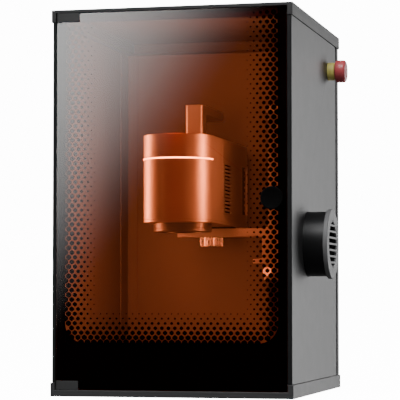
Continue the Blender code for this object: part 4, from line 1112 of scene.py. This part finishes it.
def make_lens():
    centre = (HEAD_X, LENS_Y)
    collar = [
        (0.0375, COLLAR_BOTTOM),
        (COLLAR_RADIUS - 0.001, COLLAR_BOTTOM),
        (COLLAR_RADIUS, COLLAR_BOTTOM + 0.001),
        (COLLAR_RADIUS, COLLAR_BOTTOM + 0.0052),
        (COLLAR_RADIUS - 0.0006, COLLAR_BOTTOM + 0.0055),
        (COLLAR_RADIUS - 0.0006, COLLAR_BOTTOM + 0.0062),
        (COLLAR_RADIUS, COLLAR_BOTTOM + 0.0065),
        (COLLAR_RADIUS, HEAD_BOTTOM - GAP),
        (0.0400, HEAD_BOTTOM - GAP),
        (0.0400, COLLAR_BOTTOM + 0.0018),
        (0.0375, COLLAR_BOTTOM + 0.0018),
    ]
    add("lens_mount", turned(collar, "Z", centre, 128, True), collar_grey, "lift", ["lens_collar"], 0.0002)
    bottom = COLLAR_BOTTOM + 0.0021
    lens = []
    for angle in steps_to_right_angle(10):
        rise = 0.0026 * (1 - math.cos(angle) ** 0.5)
        lens.append((0.0396 * math.sin(angle), bottom + 0.0005 + rise))
    lens += [(0.0396, bottom + 0.0070), (0.0280, bottom + 0.0090), (0, bottom + 0.0105)]
    add("lens_element", turned(lens, "Z", centre, 96), lens_glass, "lift", ["scan_lens"], 0)


make_base_and_lid()
make_panels()
make_posts()
make_chamber_light()
make_door()
make_hinges()
make_pull()
make_emergency_stop()
make_duct()
make_exhaust_fan()
make_stand()
make_lead_screw()
make_carriage()
make_knobs()
make_head()
make_handle()
make_lens()
keep("galvo_block", bed_aluminium, 0.0006)
keep("galvo_mirror_x", mirror_glass, 0.0001)
keep("galvo_mirror_y", mirror_glass, 0.0001)
keep("laser_module", bed_aluminium, 0.0005)


# Studio


def stage_mesh(name, bm, finish):
    """A stage surface that only the camera sees, so that the lights alone shape the object."""
    mesh = bpy.data.meshes.new(name)
    bmesh.ops.translate(bm, verts=bm.verts, vec=-ORIGIN)
    bm.to_mesh(mesh)
    bm.free()
    mesh.materials.append(finish)
    mesh.shade_smooth()
    obj = bpy.data.objects.new(name, mesh)
    bpy.context.scene.collection.objects.link(obj)
    obj.visible_diffuse = False
    obj.visible_glossy = False
    return obj


def make_floor():
    """A pale floor and a pale surround that meets it without a seam."""
    graph = Graph("studio_floor")
    grain = graph.noise(graph.place(), 90.0, 3.0)
    tone = graph.mix(graph.ramp(grain, 0.3, 0.7), (0.83, 0.83, 0.83), (0.86, 0.86, 0.86))
    inputs = {
        "Base Color": tone,
        "Roughness": 0.8,
        "Emission Color": (1, 1, 1, 1),
        "Emission Strength": BACKDROP_GLOW,
        "Normal": graph.bump(0.02, 0.001, grain),
    }
    finish = graph.shown(graph.node("ShaderNodeBsdfPrincipled", inputs))
    bm = bmesh.new()
    bmesh.ops.create_circle(bm, cap_ends=True, radius=9.0, segments=96)
    stage_mesh("studio_floor", bm, finish).visible_shadow = False
    graph = Graph("studio_surround")
    finish = graph.shown(graph.emission(BACKDROP_GLOW))
    bm = bmesh.new()
    bmesh.ops.create_uvsphere(bm, u_segments=48, v_segments=24, radius=8.8)
    stage_mesh("studio_surround", bm, finish).visible_shadow = False


def area_light(name, place, target, size, radiance, glossy=True):
    """A rectangular soft light. Its power follows from the brightness of its face."""
    data = bpy.data.lights.new(name, "AREA")
    data.shape = "RECTANGLE"
    data.size, data.size_y = size
    data.energy = radiance * math.pi * size[0] * size[1]
    obj = bpy.data.objects.new(name, data)
    start, end = Vector(place) - ORIGIN, Vector(target) - ORIGIN
    obj.location = start
    obj.rotation_euler = (end - start).to_track_quat("-Z", "Y").to_euler()
    obj.visible_camera = False
    obj.visible_glossy = glossy
    bpy.context.scene.collection.objects.link(obj)


def soft_card(name, low, high, strength):
    """A soft box in front whose light fades along a slant, from its upper left to nothing."""
    graph = Graph(name)
    coords = graph.node("ShaderNodeTexCoord").outputs["Object"]
    span = {"Value": graph.dot(coords, CARD_SLANT), "From Min": CARD_DARK, "From Max": CARD_BRIGHT}
    fade = graph.node("ShaderNodeMapRange", span, interpolation_type="SMOOTHSTEP").outputs[0]
    finish = graph.shown(graph.emission(graph.math("MULTIPLY", fade, strength)))
    y = low[1]
    bm = bmesh.new()
    corners = ((low[0], y, low[2]), (low[0], y, high[2]), (high[0], y, high[2]), (high[0], y, low[2]))
    bm.faces.new([bm.verts.new(corner) for corner in corners])
    card = stage_mesh(name, bm, finish)
    card.visible_camera = False
    card.visible_glossy = True
    reflecting = bpy.data.collections.new(f"{name}_seen_in")
    reflecting.objects.link(bpy.data.objects["door_pane"])
    card.light_linking.receiver_collection = reflecting


def make_studio():
    make_floor()
    world = bpy.data.worlds.new("studio")
    world.use_nodes = True
    background = world.node_tree.nodes["Background"]
    background.inputs["Color"].default_value = (1, 1, 1, 1)
    background.inputs["Strength"].default_value = 0.15
    world.cycles_visibility.glossy = False
    bpy.context.scene.world = world
    centre = (0.19, 0.21, 0.30)
    area_light("top_soft", (0.2, -1.5, 2.7), centre, (1.8, 1.8), 8.0)
    area_light("right_soft", (1.7, 2.0, 0.2), centre, (1.6, 1.7), 3.3)
    soft_card("front_card", (-2.2, -2.5, 0.0), (0.3, -2.5, 2.2), 16.0)
    area_light("front_soft", (-0.6, -2.5, 1.3), centre, (1.4, 1.4), 2.2, glossy=False)
    mid, strip = 0.345, (0.03, 0.30)
    area_light("chamber_left", (0.006, 0.114, mid), (0.10, 0.114, mid), strip, 32.0)
    area_light("chamber_right", (0.370, 0.105, mid), (0.20, 0.105, mid), strip, 28.0)
    area_light("chamber_fill", (0.19, 0.012, mid), (0.19, 0.40, mid), (0.30, 0.42), 13.5, glossy=False)


def make_camera():
    data = bpy.data.cameras.new("camera")
    data.sensor_width = 36.0
    data.lens = 172.86
    data.clip_end = 60.0
    camera = bpy.data.objects.new("camera", data)
    camera.location = Vector((0.9464, -2.8789, 0.1519)) - ORIGIN
    camera.rotation_euler = (math.radians(92.983), 0.0, math.radians(13.75))
    bpy.context.scene.collection.objects.link(camera)
    bpy.context.scene.camera = camera


make_studio()
make_camera()
